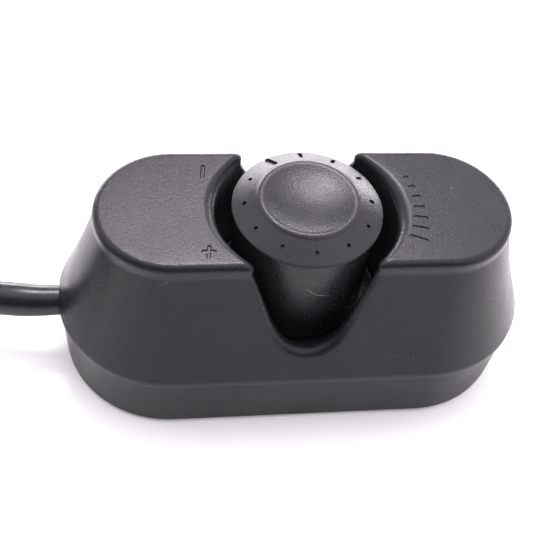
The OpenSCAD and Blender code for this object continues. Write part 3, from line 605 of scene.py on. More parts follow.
def lead_hole():
    """The tool for the round hole in the end wall that the lead's grommet sits in."""
    low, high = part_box("lead_end")
    place = Matrix.Translation((low.x - OVER, 0, (low.z + high.z) / 2))
    profile = [(0, 0), (LEAD_HOLE_R, 0), (LEAD_HOLE_R, LEAD_HOLE_RUN), (0, LEAD_HOLE_RUN)]
    return lathe("lead_hole", profile, 64, place @ Matrix.Rotation(math.pi / 2, 4, "Y"))


class REMOTE_OT_base_cover(bpy.types.Operator):
    """Model the base cover with its parting groove, screw towers and foot pockets"""
    bl_idname = "remote.base_cover"
    bl_label = "Base Cover"

    def execute(self, context):
        s = context.scene.remote_housing
        wall = Wall(s)
        low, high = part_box("base_cover")
        bottom, lip_top = low.z, high.z
        top_r = wall.shoulder - s.base_inset
        foot_r = top_r - s.base_draft
        lip_gap, lip_wall, top_round = 0.1 * MM, 1.0 * MM, 0.15 * MM
        lip_r = wall.shoulder - s.rim_wall - lip_gap
        inner_r = lip_r - lip_wall
        floor = bottom + s.base_floor
        groove = s.part_h - s.groove_h
        profile = [(0, bottom)]
        profile += arc((foot_r - s.base_round, bottom + s.base_round), s.base_round, -90, 0, 10)
        profile += arc((top_r - top_round, groove - top_round), top_round, 0, 90, 4)
        profile += [(top_r - s.groove_d, groove), (top_r - s.groove_d, s.part_h),
                    (lip_r, s.part_h), (lip_r, lip_top), (inner_r, lip_top), (inner_r, floor),
                    (0, floor)]
        base = stadium("base", profile, wall.spine, 24, 64)

        join_z = s.part_h - BOSS_DROP
        seat_z = join_z - HEAD_SEAT
        towers = [post("tower", x, y, TOWER_R, floor - OVER, join_z) for x, y in screw_places()]
        clamp_low, clamp_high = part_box("clamp_bar")
        towers.append(block("clamp_seat", (clamp_low.x, clamp_low.y, floor - OVER),
                            (clamp_high.x, clamp_high.y, clamp_low.z)))
        carve(base, towers, "UNION")

        tools = [lead_hole(), self.lead_groove(clamp_low, clamp_high)]
        for x, y in screw_places():
            tools.append(post("head_bore", x, y, HEAD_BORE_R, bottom - OVER, seat_z))
            tools.append(post("screw_hole", x, y, SCREW_HOLE_R, seat_z - OVER, join_z + OVER, 32))
        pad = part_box("foot_pads")[1]
        for sx, sy in QUARTERS:
            tools.append(post("pocket", sx * (pad.x - FOOT_R), sy * (pad.y - FOOT_R),
                              FOOT_R + FOOT_GAP, bottom - OVER, pad.z, 64))
        screws_low, screws_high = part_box("clamp_screws")
        for side in (1, -1):
            tools.append(post("clamp_pilot", (screws_low.x + screws_high.x) / 2,
                              side * (screws_high.y - CLAMP_HEAD_R), CLAMP_PILOT_R,
                              screws_low.z, clamp_high.z, 32))
        carve(base, tools)
        finish_piece(base, "housing_base", "root", "base_plastic", "base_cover")
        return {"FINISHED"}

    def lead_groove(self, low, high):
        gap = 0.02 * MM
        radius = bpy.context.scene.remote_lead.diameter / 2 + gap
        place = Matrix.Translation((low.x - OVER, 0, low.z)) @ Matrix.Rotation(math.pi / 2, 4, "Y")
        run = high.x - low.x + 2 * OVER
        return lathe("lead_groove", [(0, 0), (radius, 0), (radius, run), (0, run)], 48, place)


class REMOTE_OT_volume_knob(bpy.types.Operator):
    """Model the knob with its dished top, its marks and the hub inside"""
    bl_idname = "remote.volume_knob"
    bl_label = "Volume Knob"

    def execute(self, context):
        k = context.scene.remote_knob
        low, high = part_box("volume_knob")
        crest_z = high.z
        outline, slope = self.outline(k, low.z, crest_z)
        clip_gap, shaft_gap = 1.25 * MM, 0.4 * MM
        hub_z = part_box("shaft_clip")[1].z + clip_gap
        cavity_top = crest_z - k.dish_depth - k.cap_wall
        bore_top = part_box("pot_shaft")[1].z + shaft_gap
        skirt_in = k.skirt_r - k.skirt_wall
        inside = [(skirt_in, low.z), (skirt_in, cavity_top), (k.hub_r, cavity_top),
                  (k.hub_r, hub_z), (k.bore_r, hub_z), (k.bore_r, bore_top), (0, bore_top)]
        knob = lathe("knob", outline + inside, 240)

        rib_half, rib_low = 0.6 * MM, hub_z + 6.6 * MM
        ribs = []
        for i in range(6):
            rib = block("rib", (k.hub_r - OVER / 2, -rib_half, rib_low),
                        (skirt_in + OVER, rib_half, cavity_top + OVER))
            rib.data.transform(Matrix.Rotation(math.radians(60 * i + 30), 4, "Z"))
            ribs.append(rib)
        flat_at = 1.55 * MM
        flat = block("bore_flat", (flat_at, -k.bore_r, hub_z),
                     (k.hub_r - OVER, k.bore_r, bore_top + OVER))
        flat.data.transform(Matrix.Rotation(k.pointer_turn, 4, "Z"))
        carve(knob, ribs + [flat], "UNION")

        slit_half, slit_run = 0.5 * MM, 6 * MM
        tools = [block("slit", (-k.hub_r - OVER, -slit_half, hub_z - OVER),
                       (k.hub_r + OVER, slit_half, hub_z + slit_run))]
        tools += self.mark_cutters(k, slope)
        carve(knob, tools)
        finish_piece(knob, "knob_cap", "knob", "knob_plastic", "volume_knob")
        return {"FINISHED"}

    def mark_cutters(self, k, slope):
        """The pointer and the marks round the cone, which grow shorter past the pointer."""
        draft = 0.06 * MM
        tools = []
        for i in range(k.marks):
            length = k.mark_len + k.mark_grow * max(0, 1 - (i - 1) / 4) ** 1.3
            width, radius = k.mark_w, k.mark_r + 0.2 * (length - k.mark_len)
            if i == 0:
                length, width, radius = k.pointer_len, k.pointer_w, k.mark_r + 0.4 * MM
            rise = (k.rim_r - radius) * math.tan(slope)
            place = (Matrix.Rotation(k.pointer_turn - math.tau * i / k.marks, 4, "Z")
                     @ Matrix.Translation((radius, 0, k.rim_h + rise))
                     @ Matrix.Rotation(slope, 4, "Y"))
            tools.append(slot_cutter("mark", length, width, k.mark_depth, place, draft))
        return tools

    def outline(self, k, bottom, crest_z):
        """The outside from the middle of the dish down to the skirt, and the cone's slope."""
        # Crest: a round outside that runs into the cone in a hollow, so none of it is creased
        outer, inner, hollow = k.crest_round, k.crest_inner, k.crest_hollow
        turn = 90 - math.degrees(k.crest_turn)
        side = Vector(arc((k.crest_r, crest_z - outer), outer, turn, 0, 1)[0])
        away = side + hollow * (side - Vector((k.crest_r, crest_z - outer))) / outer

        def foot(lean):
            return away - hollow * Vector((math.sin(lean), math.cos(lean)))

        def rim_miss(lean):
            return foot(lean).y - k.rim_h - (k.rim_r - foot(lean).x) * math.tan(lean)

        slope = solve(rim_miss, 0.0, k.crest_turn)
        # The dish is a ball whose rim is tangent to the crest's inner round
        low = crest_z - k.dish_depth
        reach = crest_z - inner - low
        ball = (k.crest_r ** 2 + reach ** 2 - inner ** 2) / (2 * (reach + inner))
        lean = math.degrees(math.atan2(k.crest_r, ball - reach))
        dish = arc((0, low + ball), ball, -90, lean - 90, 20)
        ring = arc((k.crest_r, crest_z - inner), inner, 90 + lean, 90, 10)
        ring += arc((k.crest_r, crest_z - outer), outer, 90, turn, 10)[1:]
        ring += [tuple(foot(mix(k.crest_turn, slope, i / 8))) for i in range(1, 9)]
        edge_round, crease = 0.3 * MM, 0.1 * MM
        rim = arc((k.rim_r - edge_round, k.rim_h - edge_round), edge_round,
                  90 - math.degrees(slope), 0, 5)
        under = k.rim_h - k.rim_edge
        tuck_r = k.rim_r - k.rim_tuck
        # The rim's lower corner is broken by a small chamfer
        skirt = [(tuck_r + 0.03 * MM, under + crease), (tuck_r - 0.06 * MM, under)]
        skirt += arc((k.skirt_r + crease, under - crease), crease, 90, 180, 3)
        skirt += arc((k.skirt_r - edge_round, bottom + edge_round), edge_round, 0, -90, 5)
        return dish[:-1] + ring + rim + skirt, slope


# The lead up to its hank, as in the part's own source: (x, y, z) in millimetres
ROUTE = ((-40.1, 0, 11), (-43.5, 0, 11), (-47, 0.3, 11), (-50.5, 0.9, 10.8), (-54, 1.6, 10.3),
         (-58, 2.4, 9.3), (-62, 3.6, 8), (-66, 5.1, 6.6), (-70, 6.9, 5.3), (-74, 8.8, 4.2),
         (-78, 10.7, 3.4), (-82, 12.4, 2.9), (-86, 13.9, 2.65), (-90, 15.1, 2.6),
         (-94, 15.95, 2.6), (-98, 16.4, 2.6), (-102, 16.6, 2.6), (-105.4, 16.6, 2.6))


class Hank:
    """How the lead is folded: six turns, two strands wide and three high. Past the strap
    each turn moves on to its next place, the last one first, so none has to cross another."""

    # Column and row of each turn, the inner column first; the last place is for the tail
    order = ((1, 0), (0, 0), (0, 1), (1, 1), (1, 2), (0, 2), (0, 3))
    turns = 6
    steps = 12
    # How long a move to the next place takes, and how far apart two moves start
    move = 23 * MM
    follow = 9.6 * MM
    # How far past the strap the first move starts
    past_strap = 7 * MM
    # The last turn widens round the others, and rises to the height of the plug
    widen_from, widen_run = 14 * MM, 30 * MM
    rise_run = 34 * MM
    # The strap under the strands: how far they stay up past its edges, the gap over it, and
    # how long they take to come down
    flat_past = 0.7 * MM
    strap_gap = 0.15 * MM
    settle_run = 15 * MM

    def __init__(self, lead, plug_z):
        self.d = lead.diameter
        self.fold = lead.fold_r
        self.run = lead.hank_run
        self.half = math.pi * self.fold
        self.round = 2 * (self.run + self.half)
        x, y, _ = ROUTE[-1]
        self.near = Vector((x * MM, y * MM - self.fold - self.d / 2, 0))
        self.tie = 1.5 * self.run + self.half
        self.tie_x = self.near.x - self.run / 2
        self.tie_flat = lead.strap_w / 2 + self.flat_past
        self.lift = lead.strap_t + self.strap_gap
        self.plug_z = plug_z

    def place(self, turn, along):
        """Radius and height of the lead's middle, some way along a turn."""
        column, row = self.order[turn]
        next_column, next_row = self.order[turn + 1]
        start = self.tie + self.past_strap + (self.turns - 1 - turn) * self.follow
        share = ease((along - start) / self.move)
        radius = self.fold + (mix(column, next_column, share) - 0.5) * self.d
        level = (mix(row, next_row, share) + 0.5) * self.d
        if turn == self.turns - 1:
            radius += self.d / 2 * ease((along - start - self.widen_from) / self.widen_run)
            ride = (next_row + 0.5) * self.d
            level += (self.plug_z - ride) * ease((along - self.round) / self.rise_run + 1)
        away = abs(along - self.tie) - self.tie_flat
        return radius, level + self.lift * (1 - ease(away / self.settle_run))

    def point(self, turn, along):
        """A turn runs to the back left, round, forward along the front, and round again."""
        radius, level = self.place(turn, along)
        if along <= self.run:
            return self.near + Vector((-along, radius, level))
        along -= self.run
        if along <= self.half:
            a = math.pi / 2 + along / self.fold
            return self.near + Vector((radius * math.cos(a) - self.run, radius * math.sin(a),
                                       level))
        along -= self.half
        if along <= self.run:
            return self.near + Vector((along - self.run, -radius, level))
        a = (along - self.run) / self.fold - math.pi / 2
        return self.near + Vector((radius * math.cos(a), radius * math.sin(a), level))

    def points(self):
        way = []
        for turn in range(self.turns):
            start = 0
            for length in (self.run, self.half, self.run, self.half):
                way += [self.point(turn, start + length * i / self.steps)
                        for i in range(1, self.steps + 1)]
                start += length
        return way

    def strap_loop(self, clear, count=96):
        """A taut loop round the strands at the strap: (y, height) and the way outwards."""
        spots = []
        for turn in range(self.turns):
            strand = self.point(turn, self.tie)
            spots += arc((strand.y, strand.z), self.d / 2 + clear, 0, 360, 48)[:-1]
        hull = [Vector(spots[i]) for i in convex_hull_2d(spots)]
        low, high = min(p.x for p in hull), max(p.x for p in hull)
        top = Vector(((low + high) / 2, max(p.y for p in hull)))
        first = next(i for i, p in enumerate(hull)
                     if p.y > top.y / 2 and (hull[i - 1].x - top.x) * (p.x - top.x) <= 0)
        hull = [top] + hull[first:] + hull[:first] + [top]
        run = [0.0]
        for a, b in zip(hull, hull[1:]):
            run.append(run[-1] + (b - a).length)
        ring, at = [], 0
        for i in range(count):
            want = run[-1] * i / count
            while run[at + 1] < want:
                at += 1
            ring.append(hull[at].lerp(hull[at + 1], (want - run[at]) / (run[at + 1] - run[at])))
        middle = Vector((top.x, top.y / 2))
        loop = []
        for i, p in enumerate(ring):
            chord = ring[(i + 1) % count] - ring[i - 1]
            out = Vector((chord.y, -chord.x)).normalized()
            loop.append((p, out if out.dot(p - middle) > 0 else -out))
        return loop


class REMOTE_OT_lead(bpy.types.Operator):
    """Lay the lead from the housing into its hank, with its strap and its plug"""
    bl_idname = "remote.lead"
    bl_label = "Lead"

    def execute(self, context):
        lead = context.scene.remote_lead
        low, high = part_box("plug_body")
        plug = Vector((high.x, (low.y + high.y) / 2, (low.z + high.z) / 2))
        hank = Hank(lead, plug.z)
        route = [Vector(p) * MM for p in ROUTE]
        points = route + hank.points()
        end = points[-1]
        inside = 0.5 * MM
        points += [Vector((mix(end.x, plug.x - inside, i / 3), plug.y, plug.z))
                   for i in range(1, 4)]
        cord = self.cord(points, lead)
        strap = self.strap(hank, lead)
        grip = self.grip(plug, lead.diameter / 2)
        return {"FINISHED"}

    def cord(self, points, lead):
        curve = bpy.data.curves.new("lead_cord", "CURVE")
        curve.dimensions = "3D"
        curve.resolution_u = 5
        curve.bevel_depth = lead.diameter / 2
        curve.bevel_resolution = 8
        curve.use_fill_caps = True
        spline = curve.splines.new("BEZIER")
        spline.bezier_points.add(len(points) - 1)
        # The jacket is thicker just outside the housing
        swell_run, fade_from, fade_run = 8 * MM, 20.4 * MM, 12 * MM
        for knot, p in zip(spline.bezier_points, points):
            knot.co = p
            knot.handle_left_type = knot.handle_right_type = "AUTO"
            out = points[0].x - p.x
            knot.radius = 1 + lead.swell * (ease(out / swell_run)
                                            - ease((out - fade_from) / fade_run))
        curve.materials.append(material_of("lead_jacket"))
        piece = bpy.data.objects.new("lead_cord", curve)
        bpy.context.scene.collection.objects.link(piece)
        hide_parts("cord", "cord_coil", "cord_tail")
        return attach(piece, "root")

    def strap(self, hank, lead):
        """A band with rounded edges round the hank's front run, its end laid over itself."""
        gap = 0.05 * MM
        loop = hank.strap_loop(gap)
        lapped = len(loop) // 12
        half = lead.strap_w / 2
        edge = 0.25 * MM
        # Across the band: how far along the lead, and how far out
        section = ((-half, 0.3), (-half, 0.7), (edge - half, 1.0), (half - edge, 1.0),
                   (half, 0.7), (half, 0.3), (half - edge, 0.0), (edge - half, 0.0),
                   (-half, 0.3))
        bm = bmesh.new()
        rows = []
        for i, (spot, out) in enumerate(loop):
            thick = lead.strap_t * (2 if min(i, len(loop) - i) <= lapped else 1)
            rows.append([])
            for along, share in section:
                p = spot + out * (thick * share)
                rows[-1].append(Vector((hank.tie_x + along, p.x, max(p.y, 0))))
        add_grid(bm, rows + rows[:1])
        strap = solid("strap", bm)
        return finish_piece(strap, "lead_strap", "root", "tie_plastic", "cord_tie")

    def grip(self, plug, cord_r):
        """The moulded plug body: a ribbed boot that widens into a plain grip."""
        place = Matrix.Translation(plug) @ Matrix.Rotation(-math.pi / 2, 4, "Y")
        profile = [(0, 0), (cord_r + 0.2 * MM, 0), (cord_r + 0.5 * MM, 0.25 * MM)]
        # Three grooves, with broken edges, in a boot that widens
        boot, groove, first, pitch = 7.0 * MM, 0.7 * MM, 1.6, 1.8
        edge, deep = 0.12 * MM, cord_r + 0.3 * MM
        lean = 0.1 * MM
        for i in range(3):
            start = (first + pitch * i) * MM
            radius = mix(3.1, 3.7, start / boot) * MM
            profile += [(radius, start - edge), (radius - edge, start),
                        (deep, start + lean), (deep, start + groove - lean),
                        (radius - lean, start + groove),
                        (radius + edge - lean, start + groove + edge)]
        # The grip, with a shoulder at the boot and a round end
        grip_r, end, shoulder_round, end_round = 4.0 * MM, 21.0 * MM, 0.4 * MM, 1.0 * MM
        profile += [(3.65 * MM, boot - 0.3 * MM), (3.8 * MM, boot)]
        profile += arc((grip_r - shoulder_round, boot + 0.6 * MM), shoulder_round, -60, 0, 4)
        profile += [(grip_r, end - 1.3 * MM)]
        profile += arc((grip_r - end_round, end - end_round), end_round, 0, 90, 6)
        profile += [(0, end)]
        grip = lathe("grip", profile, 72, place)
        return finish_piece(grip, "plug_grip", "root", "plug_plastic", "plug_body")


def link(tree, source, target):
    tree.links.new(source, target)


def feed(tree, source, socket):
    """Gives a socket another node's output, or a plain value."""
    if isinstance(source, bpy.types.NodeSocket):
        link(tree, source, socket)
    else:
        socket.default_value = source


def group_tree(name, inputs, outputs):
    """A new shader node group with its named sockets: (name, kind, default)."""
    tree = bpy.data.node_groups.new(name, "ShaderNodeTree")
    for label, kind, value in inputs:
        socket = tree.interface.new_socket(label, in_out="INPUT", socket_type=kind)
        socket.default_value = value
    for label, kind in outputs:
        tree.interface.new_socket(label, in_out="OUTPUT", socket_type=kind)
    return tree, tree.nodes.new("NodeGroupInput"), tree.nodes.new("NodeGroupOutput")


def math_node(tree, operation, *values):
    """A Math node whose inputs are numbers or other nodes' sockets."""
    node = tree.nodes.new("ShaderNodeMath")
    node.operation = operation
    for socket, value in zip(node.inputs, values):
        feed(tree, value, socket)
    return node.outputs[0]


def noise_node(tree, scale, detail, roughness=0.5, coordinate=None):
    """Noise in the object's own space, or in the space of another coordinate."""
    node = tree.nodes.new("ShaderNodeTexNoise")
    if coordinate is None:
        coordinate = tree.nodes.new("ShaderNodeTexCoord").outputs["Object"]
    link(tree, coordinate, node.inputs["Vector"])
    feed(tree, scale, node.inputs["Scale"])
    node.inputs["Detail"].default_value = detail
    node.inputs["Roughness"].default_value = roughness
    return node.outputs["Fac"]


def range_node(tree, value, low, high, to_low, to_high):
    """Maps a value from one range to another, eased at both ends."""
    node = tree.nodes.new("ShaderNodeMapRange")
    node.interpolation_type = "SMOOTHSTEP"
    for socket, source in zip(node.inputs, (value, low, high, to_low, to_high)):
        feed(tree, source, socket)
    return node.outputs[0]


def spark_grain_group():
    """The fine pitted grain of an eroded mould: a height, and how it mottles the tone."""
    tree, given, result = group_tree(
        "Spark grain", [("Grains per metre", "NodeSocketFloat", 2600.0)],
        [("Height", "NodeSocketFloat"), ("Mottle", "NodeSocketFloat")])
    density = given.outputs[0]
    coarse = noise_node(tree, density, 2.0, 0.6)
    fine = noise_node(tree, math_node(tree, "MULTIPLY", density, 2.3), 1.0)
    height = math_node(tree, "ADD", math_node(tree, "MULTIPLY", coarse, 0.65),
                       math_node(tree, "MULTIPLY", fine, 0.35))
    link(tree, height, result.inputs[0])
    link(tree, range_node(tree, coarse, 0.3, 0.7, 0.0, 1.0), result.inputs[1])
    return tree


def handling_group():
    """Faint patches where fingers have polished or smeared a surface."""
    tree, given, result = group_tree(
        "Handling", [("Patches per metre", "NodeSocketFloat", 90.0)],
        [("Patch", "NodeSocketFloat")])
    patch = noise_node(tree, given.outputs[0], 3.0, 0.6)
    link(tree, range_node(tree, patch, 0.38, 0.66, 0.0, 1.0), result.inputs[0])
    return tree


def dust_group():
    """Sparse pale specks of lint and dust."""
    tree, given, result = group_tree(
        "Dust specks", [("Specks per metre", "NodeSocketFloat", 260.0),
                        ("Size", "NodeSocketFloat", 0.05)],
        [("Speck", "NodeSocketFloat")])
    cells = tree.nodes.new("ShaderNodeTexVoronoi")
    coordinate = tree.nodes.new("ShaderNodeTexCoord").outputs["Object"]
    link(tree, coordinate, cells.inputs["Vector"])
    link(tree, given.outputs[0], cells.inputs["Scale"])
    near = range_node(tree, cells.outputs["Distance"], 0.0, given.outputs[1], 1.0, 0.0)
    rare = noise_node(tree, 140.0, 1.0)
    link(tree, math_node(tree, "MULTIPLY", near, range_node(tree, rare, 0.56, 0.62, 0.0, 1.0)),
         result.inputs[0])
    return tree


def scuff_group():
    """A short pale scratch between two points of the surface."""
    tree, given, result = group_tree(
        "Scuff", [("From", "NodeSocketVector", (0, 0, 0)), ("To", "NodeSocketVector", (1, 0, 0)),
                  ("Width", "NodeSocketFloat", 0.0002)],
        [("Scratch", "NodeSocketFloat")])
    start, end, width = given.outputs[:3]

    def vector_node(operation, *values):
        node = tree.nodes.new("ShaderNodeVectorMath")
        node.operation = operation
        for socket, value in zip(node.inputs, values):
            link(tree, value, socket)
        return node

    here = tree.nodes.new("ShaderNodeTexCoord").outputs["Object"]
    along = vector_node("SUBTRACT", end, start).outputs["Vector"]
    off = vector_node("SUBTRACT", here, start).outputs["Vector"]
    share = math_node(tree, "DIVIDE", vector_node("DOT_PRODUCT", off, along).outputs["Value"],
                      vector_node("DOT_PRODUCT", along, along).outputs["Value"])
    share = math_node(tree, "MINIMUM", math_node(tree, "MAXIMUM", share, 0.0), 1.0)
    scaled = tree.nodes.new("ShaderNodeVectorMath")
    scaled.operation = "SCALE"
    link(tree, along, scaled.inputs[0])
    link(tree, share, scaled.inputs["Scale"])
    gap = vector_node("DISTANCE", off, scaled.outputs["Vector"]).outputs["Value"]
    ragged = math_node(tree, "MULTIPLY", width,
                       range_node(tree, noise_node(tree, 2500.0, 2.0), 0.3, 0.7, 0.35, 1.0))
    link(tree, range_node(tree, gap, 0.0, ragged, 1.0, 0.0), result.inputs[0])
    return tree


def brushing_group():
    """Fine lines left by turning or rolling, stretched along Z."""
    tree, given, result = group_tree(
        "Brushing", [("Lines per metre", "NodeSocketFloat", 4000.0)],
        [("Line", "NodeSocketFloat")])
    stretch = tree.nodes.new("ShaderNodeMapping")
    stretch.inputs["Scale"].default_value = (0.08, 0.08, 1.0)
    link(tree, tree.nodes.new("ShaderNodeTexCoord").outputs["Object"], stretch.inputs["Vector"])
    line = noise_node(tree, given.outputs[0], 2.0, 0.5, stretch.outputs["Vector"])
    link(tree, line, result.inputs[0])
    return tree


EFFECTS = {"grain": spark_grain_group, "handling": handling_group, "dust": dust_group,
           "scuff": scuff_group, "brushing": brushing_group}
built_groups = {}


def effect(tree, name, **values):
    """Places a shared effect in a material, with its own values."""
    if name not in built_groups:
        built_groups[name] = EFFECTS[name]()
    node = tree.nodes.new("ShaderNodeGroup")
    node.node_tree = built_groups[name]
    for label, value in values.items():
        node.inputs[label.replace("_", " ")].default_value = value
    return node


def new_material(slot):
    material = bpy.data.materials.new(slot)
    material.use_nodes = True
    return material, material.node_tree, material.node_tree.nodes["Principled BSDF"]


def blend_colour(tree, share, first, second):
    """A colour that changes from one to another with a mask."""
    node = tree.nodes.new("ShaderNodeMix")
    node.data_type = "RGBA"
    link(tree, share, node.inputs["Factor"])
    first_colour, second_colour = node.inputs[6:8]
    feed(tree, first, first_colour)
    feed(tree, second, second_colour)
    return node.outputs[2]


def bump(tree, shader, height, depth):
    node = tree.nodes.new("ShaderNodeBump")
    node.inputs["Distance"].default_value = depth
    link(tree, height, node.inputs["Height"])
    link(tree, node.outputs["Normal"], shader.inputs["Normal"])


def tone(colour, factor=1.0):
    """A colour made darker or lighter, with full cover."""
    return (*(c * factor for c in colour), 1.0)


def moulded_plastic(slot, colour, roughness, grains=3000.0, depth=0.055 * MM, scuffs=(),
                    dusty=True, gloss=0.24):
    """Matt plastic with a fine spark grain, faint handling, specks and a few scratches."""
    dust_colour = tone(bpy.context.scene.remote_finish.dust)
    material, tree, shader = new_material(slot)
    grain = effect(tree, "grain", Grains_per_metre=grains)
    patch = effect(tree, "handling").outputs["Patch"]
    shade = blend_colour(tree, grain.outputs["Mottle"], tone(colour, 0.86), tone(colour, 1.16))
    marks = []
    if dusty:
        marks.append(math_node(tree, "MULTIPLY", effect(tree, "dust").outputs["Speck"], 0.5))
    for start, end, width, strength in scuffs:
        node = effect(tree, "scuff", From=Vector(start) * MM, To=Vector(end) * MM,
                      Width=width * MM)
        marks.append(math_node(tree, "MULTIPLY", node.outputs["Scratch"], strength))
    for mark in marks:
        shade = blend_colour(tree, mark, shade, dust_colour)
    link(tree, shade, shader.inputs["Base Color"])
    shader.inputs["Specular IOR Level"].default_value = gloss
    rough = range_node(tree, patch, 0.0, 1.0, roughness - 0.035, roughness + 0.035)
    rough = math_node(tree, "ADD", rough,
                      math_node(tree, "MULTIPLY", grain.outputs["Mottle"], 0.04))
    link(tree, rough, shader.inputs["Roughness"])
    bump(tree, shader, grain.outputs["Height"], depth)
    return material


def smooth_rubber(slot, colour, roughness, depth=0.004 * MM, gloss=0.5):
    """Half-gloss jacket or matt rubber with faint streaks and handling."""
    material, tree, shader = new_material(slot)
    patch = effect(tree, "handling", Patches_per_metre=220.0).outputs["Patch"]
    grain = effect(tree, "grain", Grains_per_metre=1500.0)
    link(tree, blend_colour(tree, patch, tone(colour, 0.85), tone(colour, 1.2)),
         shader.inputs["Base Color"])
    shader.inputs["Specular IOR Level"].default_value = gloss
    link(tree, range_node(tree, patch, 0.0, 1.0, roughness - 0.03, roughness + 0.05),
         shader.inputs["Roughness"])
    bump(tree, shader, grain.outputs["Height"], depth)
    return material


def sheet_metal(slot, colour, roughness):
    """Plated or turned metal with fine lines."""
    material, tree, shader = new_material(slot)
    shader.inputs["Metallic"].default_value = 1.0
    line = effect(tree, "brushing").outputs["Line"]
    link(tree, blend_colour(tree, line, tone(colour, 0.82), tone(colour, 1.05)),
         shader.inputs["Base Color"])
    link(tree, range_node(tree, line, 0.3, 0.7, roughness - 0.06, roughness + 0.08),
         shader.inputs["Roughness"])
    bump(tree, shader, line, 0.003 * MM)
    return material


def pressed_board(slot, colour, roughness, fibres):
    """Laminate whose woven or fibrous sheet shows faintly through its surface."""
    material, tree, shader = new_material(slot)
    fibre = effect(tree, "brushing", Lines_per_metre=fibres).outputs["Line"]
    grain = effect(tree, "grain", Grains_per_metre=2200.0)
    link(tree, blend_colour(tree, fibre, tone(colour, 0.75), tone(colour, 1.2)),
         shader.inputs["Base Color"])
    link(tree, range_node(tree, fibre, 0.3, 0.7, roughness, roughness + 0.1),
         shader.inputs["Roughness"])
    bump(tree, shader, grain.outputs["Height"], 0.004 * MM)
    return material


# Scratches seen on the front wall and on the knob's skirt: from, to, width, strength
WALL_SCUFFS = (((-25.8, -12.9, 30.1), (-22.3, -12.3, 31.9), 0.24, 0.3),
               ((23.9, 3.2, 34.8), (24.2, 3.4, 34.8), 0.25, 0.35))
SKIRT_SCUFFS = (((-0.6, -11.5, 28.0), (1.0, -11.45, 26.6), 0.22, 0.45),
                ((1.0, -11.45, 26.6), (3.0, -11.1, 25.8), 0.22, 0.45))

made_materials = {}


def material_of(slot):
    """The finish of a material slot, made when it is first asked for."""
    if slot in made_materials:
        return made_materials[slot]
    colours = bpy.context.scene.remote_finish
    shell, base, knob, jacket = (tuple(c) for c in (colours.shell, colours.base, colours.knob,
                                                    colours.jacket))
    makers = {
        "shell_plastic": lambda: moulded_plastic(slot, shell, 0.29, scuffs=WALL_SCUFFS),
        "base_plastic": lambda: moulded_plastic(slot, base, 0.34, gloss=0.19),
        "knob_plastic": lambda: moulded_plastic(slot, knob, 0.27, scuffs=SKIRT_SCUFFS),
        "rotor_plastic": lambda: moulded_plastic(slot, (0.70, 0.64, 0.48), 0.5, dusty=False),
        "clamp_plastic": lambda: moulded_plastic(slot, (0.02, 0.02, 0.02), 0.5),
        "tie_plastic": lambda: moulded_plastic(slot, (0.018, 0.018, 0.02), 0.55,
                                               grains=2600.0, depth=0.04 * MM),
        "plug_plastic": lambda: moulded_plastic(slot, (0.014, 0.014, 0.015), 0.36),
        "lead_jacket": lambda: smooth_rubber(slot, jacket, 0.3, gloss=0.36),
        "grommet_rubber": lambda: smooth_rubber(slot, jacket, 0.45),
        "foot_rubber": lambda: smooth_rubber(slot, (0.022, 0.022, 0.022), 0.7,
                                             depth=0.012 * MM),
        "core_red": lambda: smooth_rubber(slot, (0.45, 0.02, 0.015), 0.4),
        "core_white": lambda: smooth_rubber(slot, (0.72, 0.72, 0.68), 0.4),
        "core_black": lambda: smooth_rubber(slot, (0.02, 0.02, 0.02), 0.4),
        "insulator_plastic": lambda: smooth_rubber(slot, (0.01, 0.01, 0.01), 0.3),
        "screw_steel": lambda: sheet_metal(slot, (0.62, 0.60, 0.56), 0.3),
        "spring_steel": lambda: sheet_metal(slot, (0.52, 0.52, 0.54), 0.25),
        "case_steel": lambda: sheet_metal(slot, (0.70, 0.69, 0.66), 0.35),
        "nut_steel": lambda: sheet_metal(slot, (0.74, 0.70, 0.64), 0.2),
        "bushing_brass": lambda: sheet_metal(slot, (0.72, 0.62, 0.40), 0.25),
        "shaft_aluminium": lambda: sheet_metal(slot, (0.80, 0.80, 0.80), 0.3),
        "wiper_bronze": lambda: sheet_metal(slot, (0.72, 0.47, 0.22), 0.3),
        "plug_metal": lambda: sheet_metal(slot, (0.78, 0.75, 0.70), 0.16),
        "wafer_phenolic": lambda: pressed_board(slot, (0.16, 0.06, 0.02), 0.45, 1500.0),
        "board_laminate": lambda: pressed_board(slot, (0.02, 0.13, 0.04), 0.3, 900.0),
    }
    made_materials[slot] = makers[slot]()
    return made_materials[slot]


class REMOTE_OT_inner_parts(bpy.types.Operator):
    """Give every part that keeps its own solid the finish of its material slot"""
    bl_idname = "remote.inner_parts"
    bl_label = "Inner Parts"

    def execute(self, context):
        for row in frame["record"]["subparts"]:
            node = frame["nodes"][row["node"]]
            if node.hide_render:
                continue
            node.data.materials.clear()
            node.data.materials.append(material_of(row["material_slot"]))
        return {"FINISHED"}


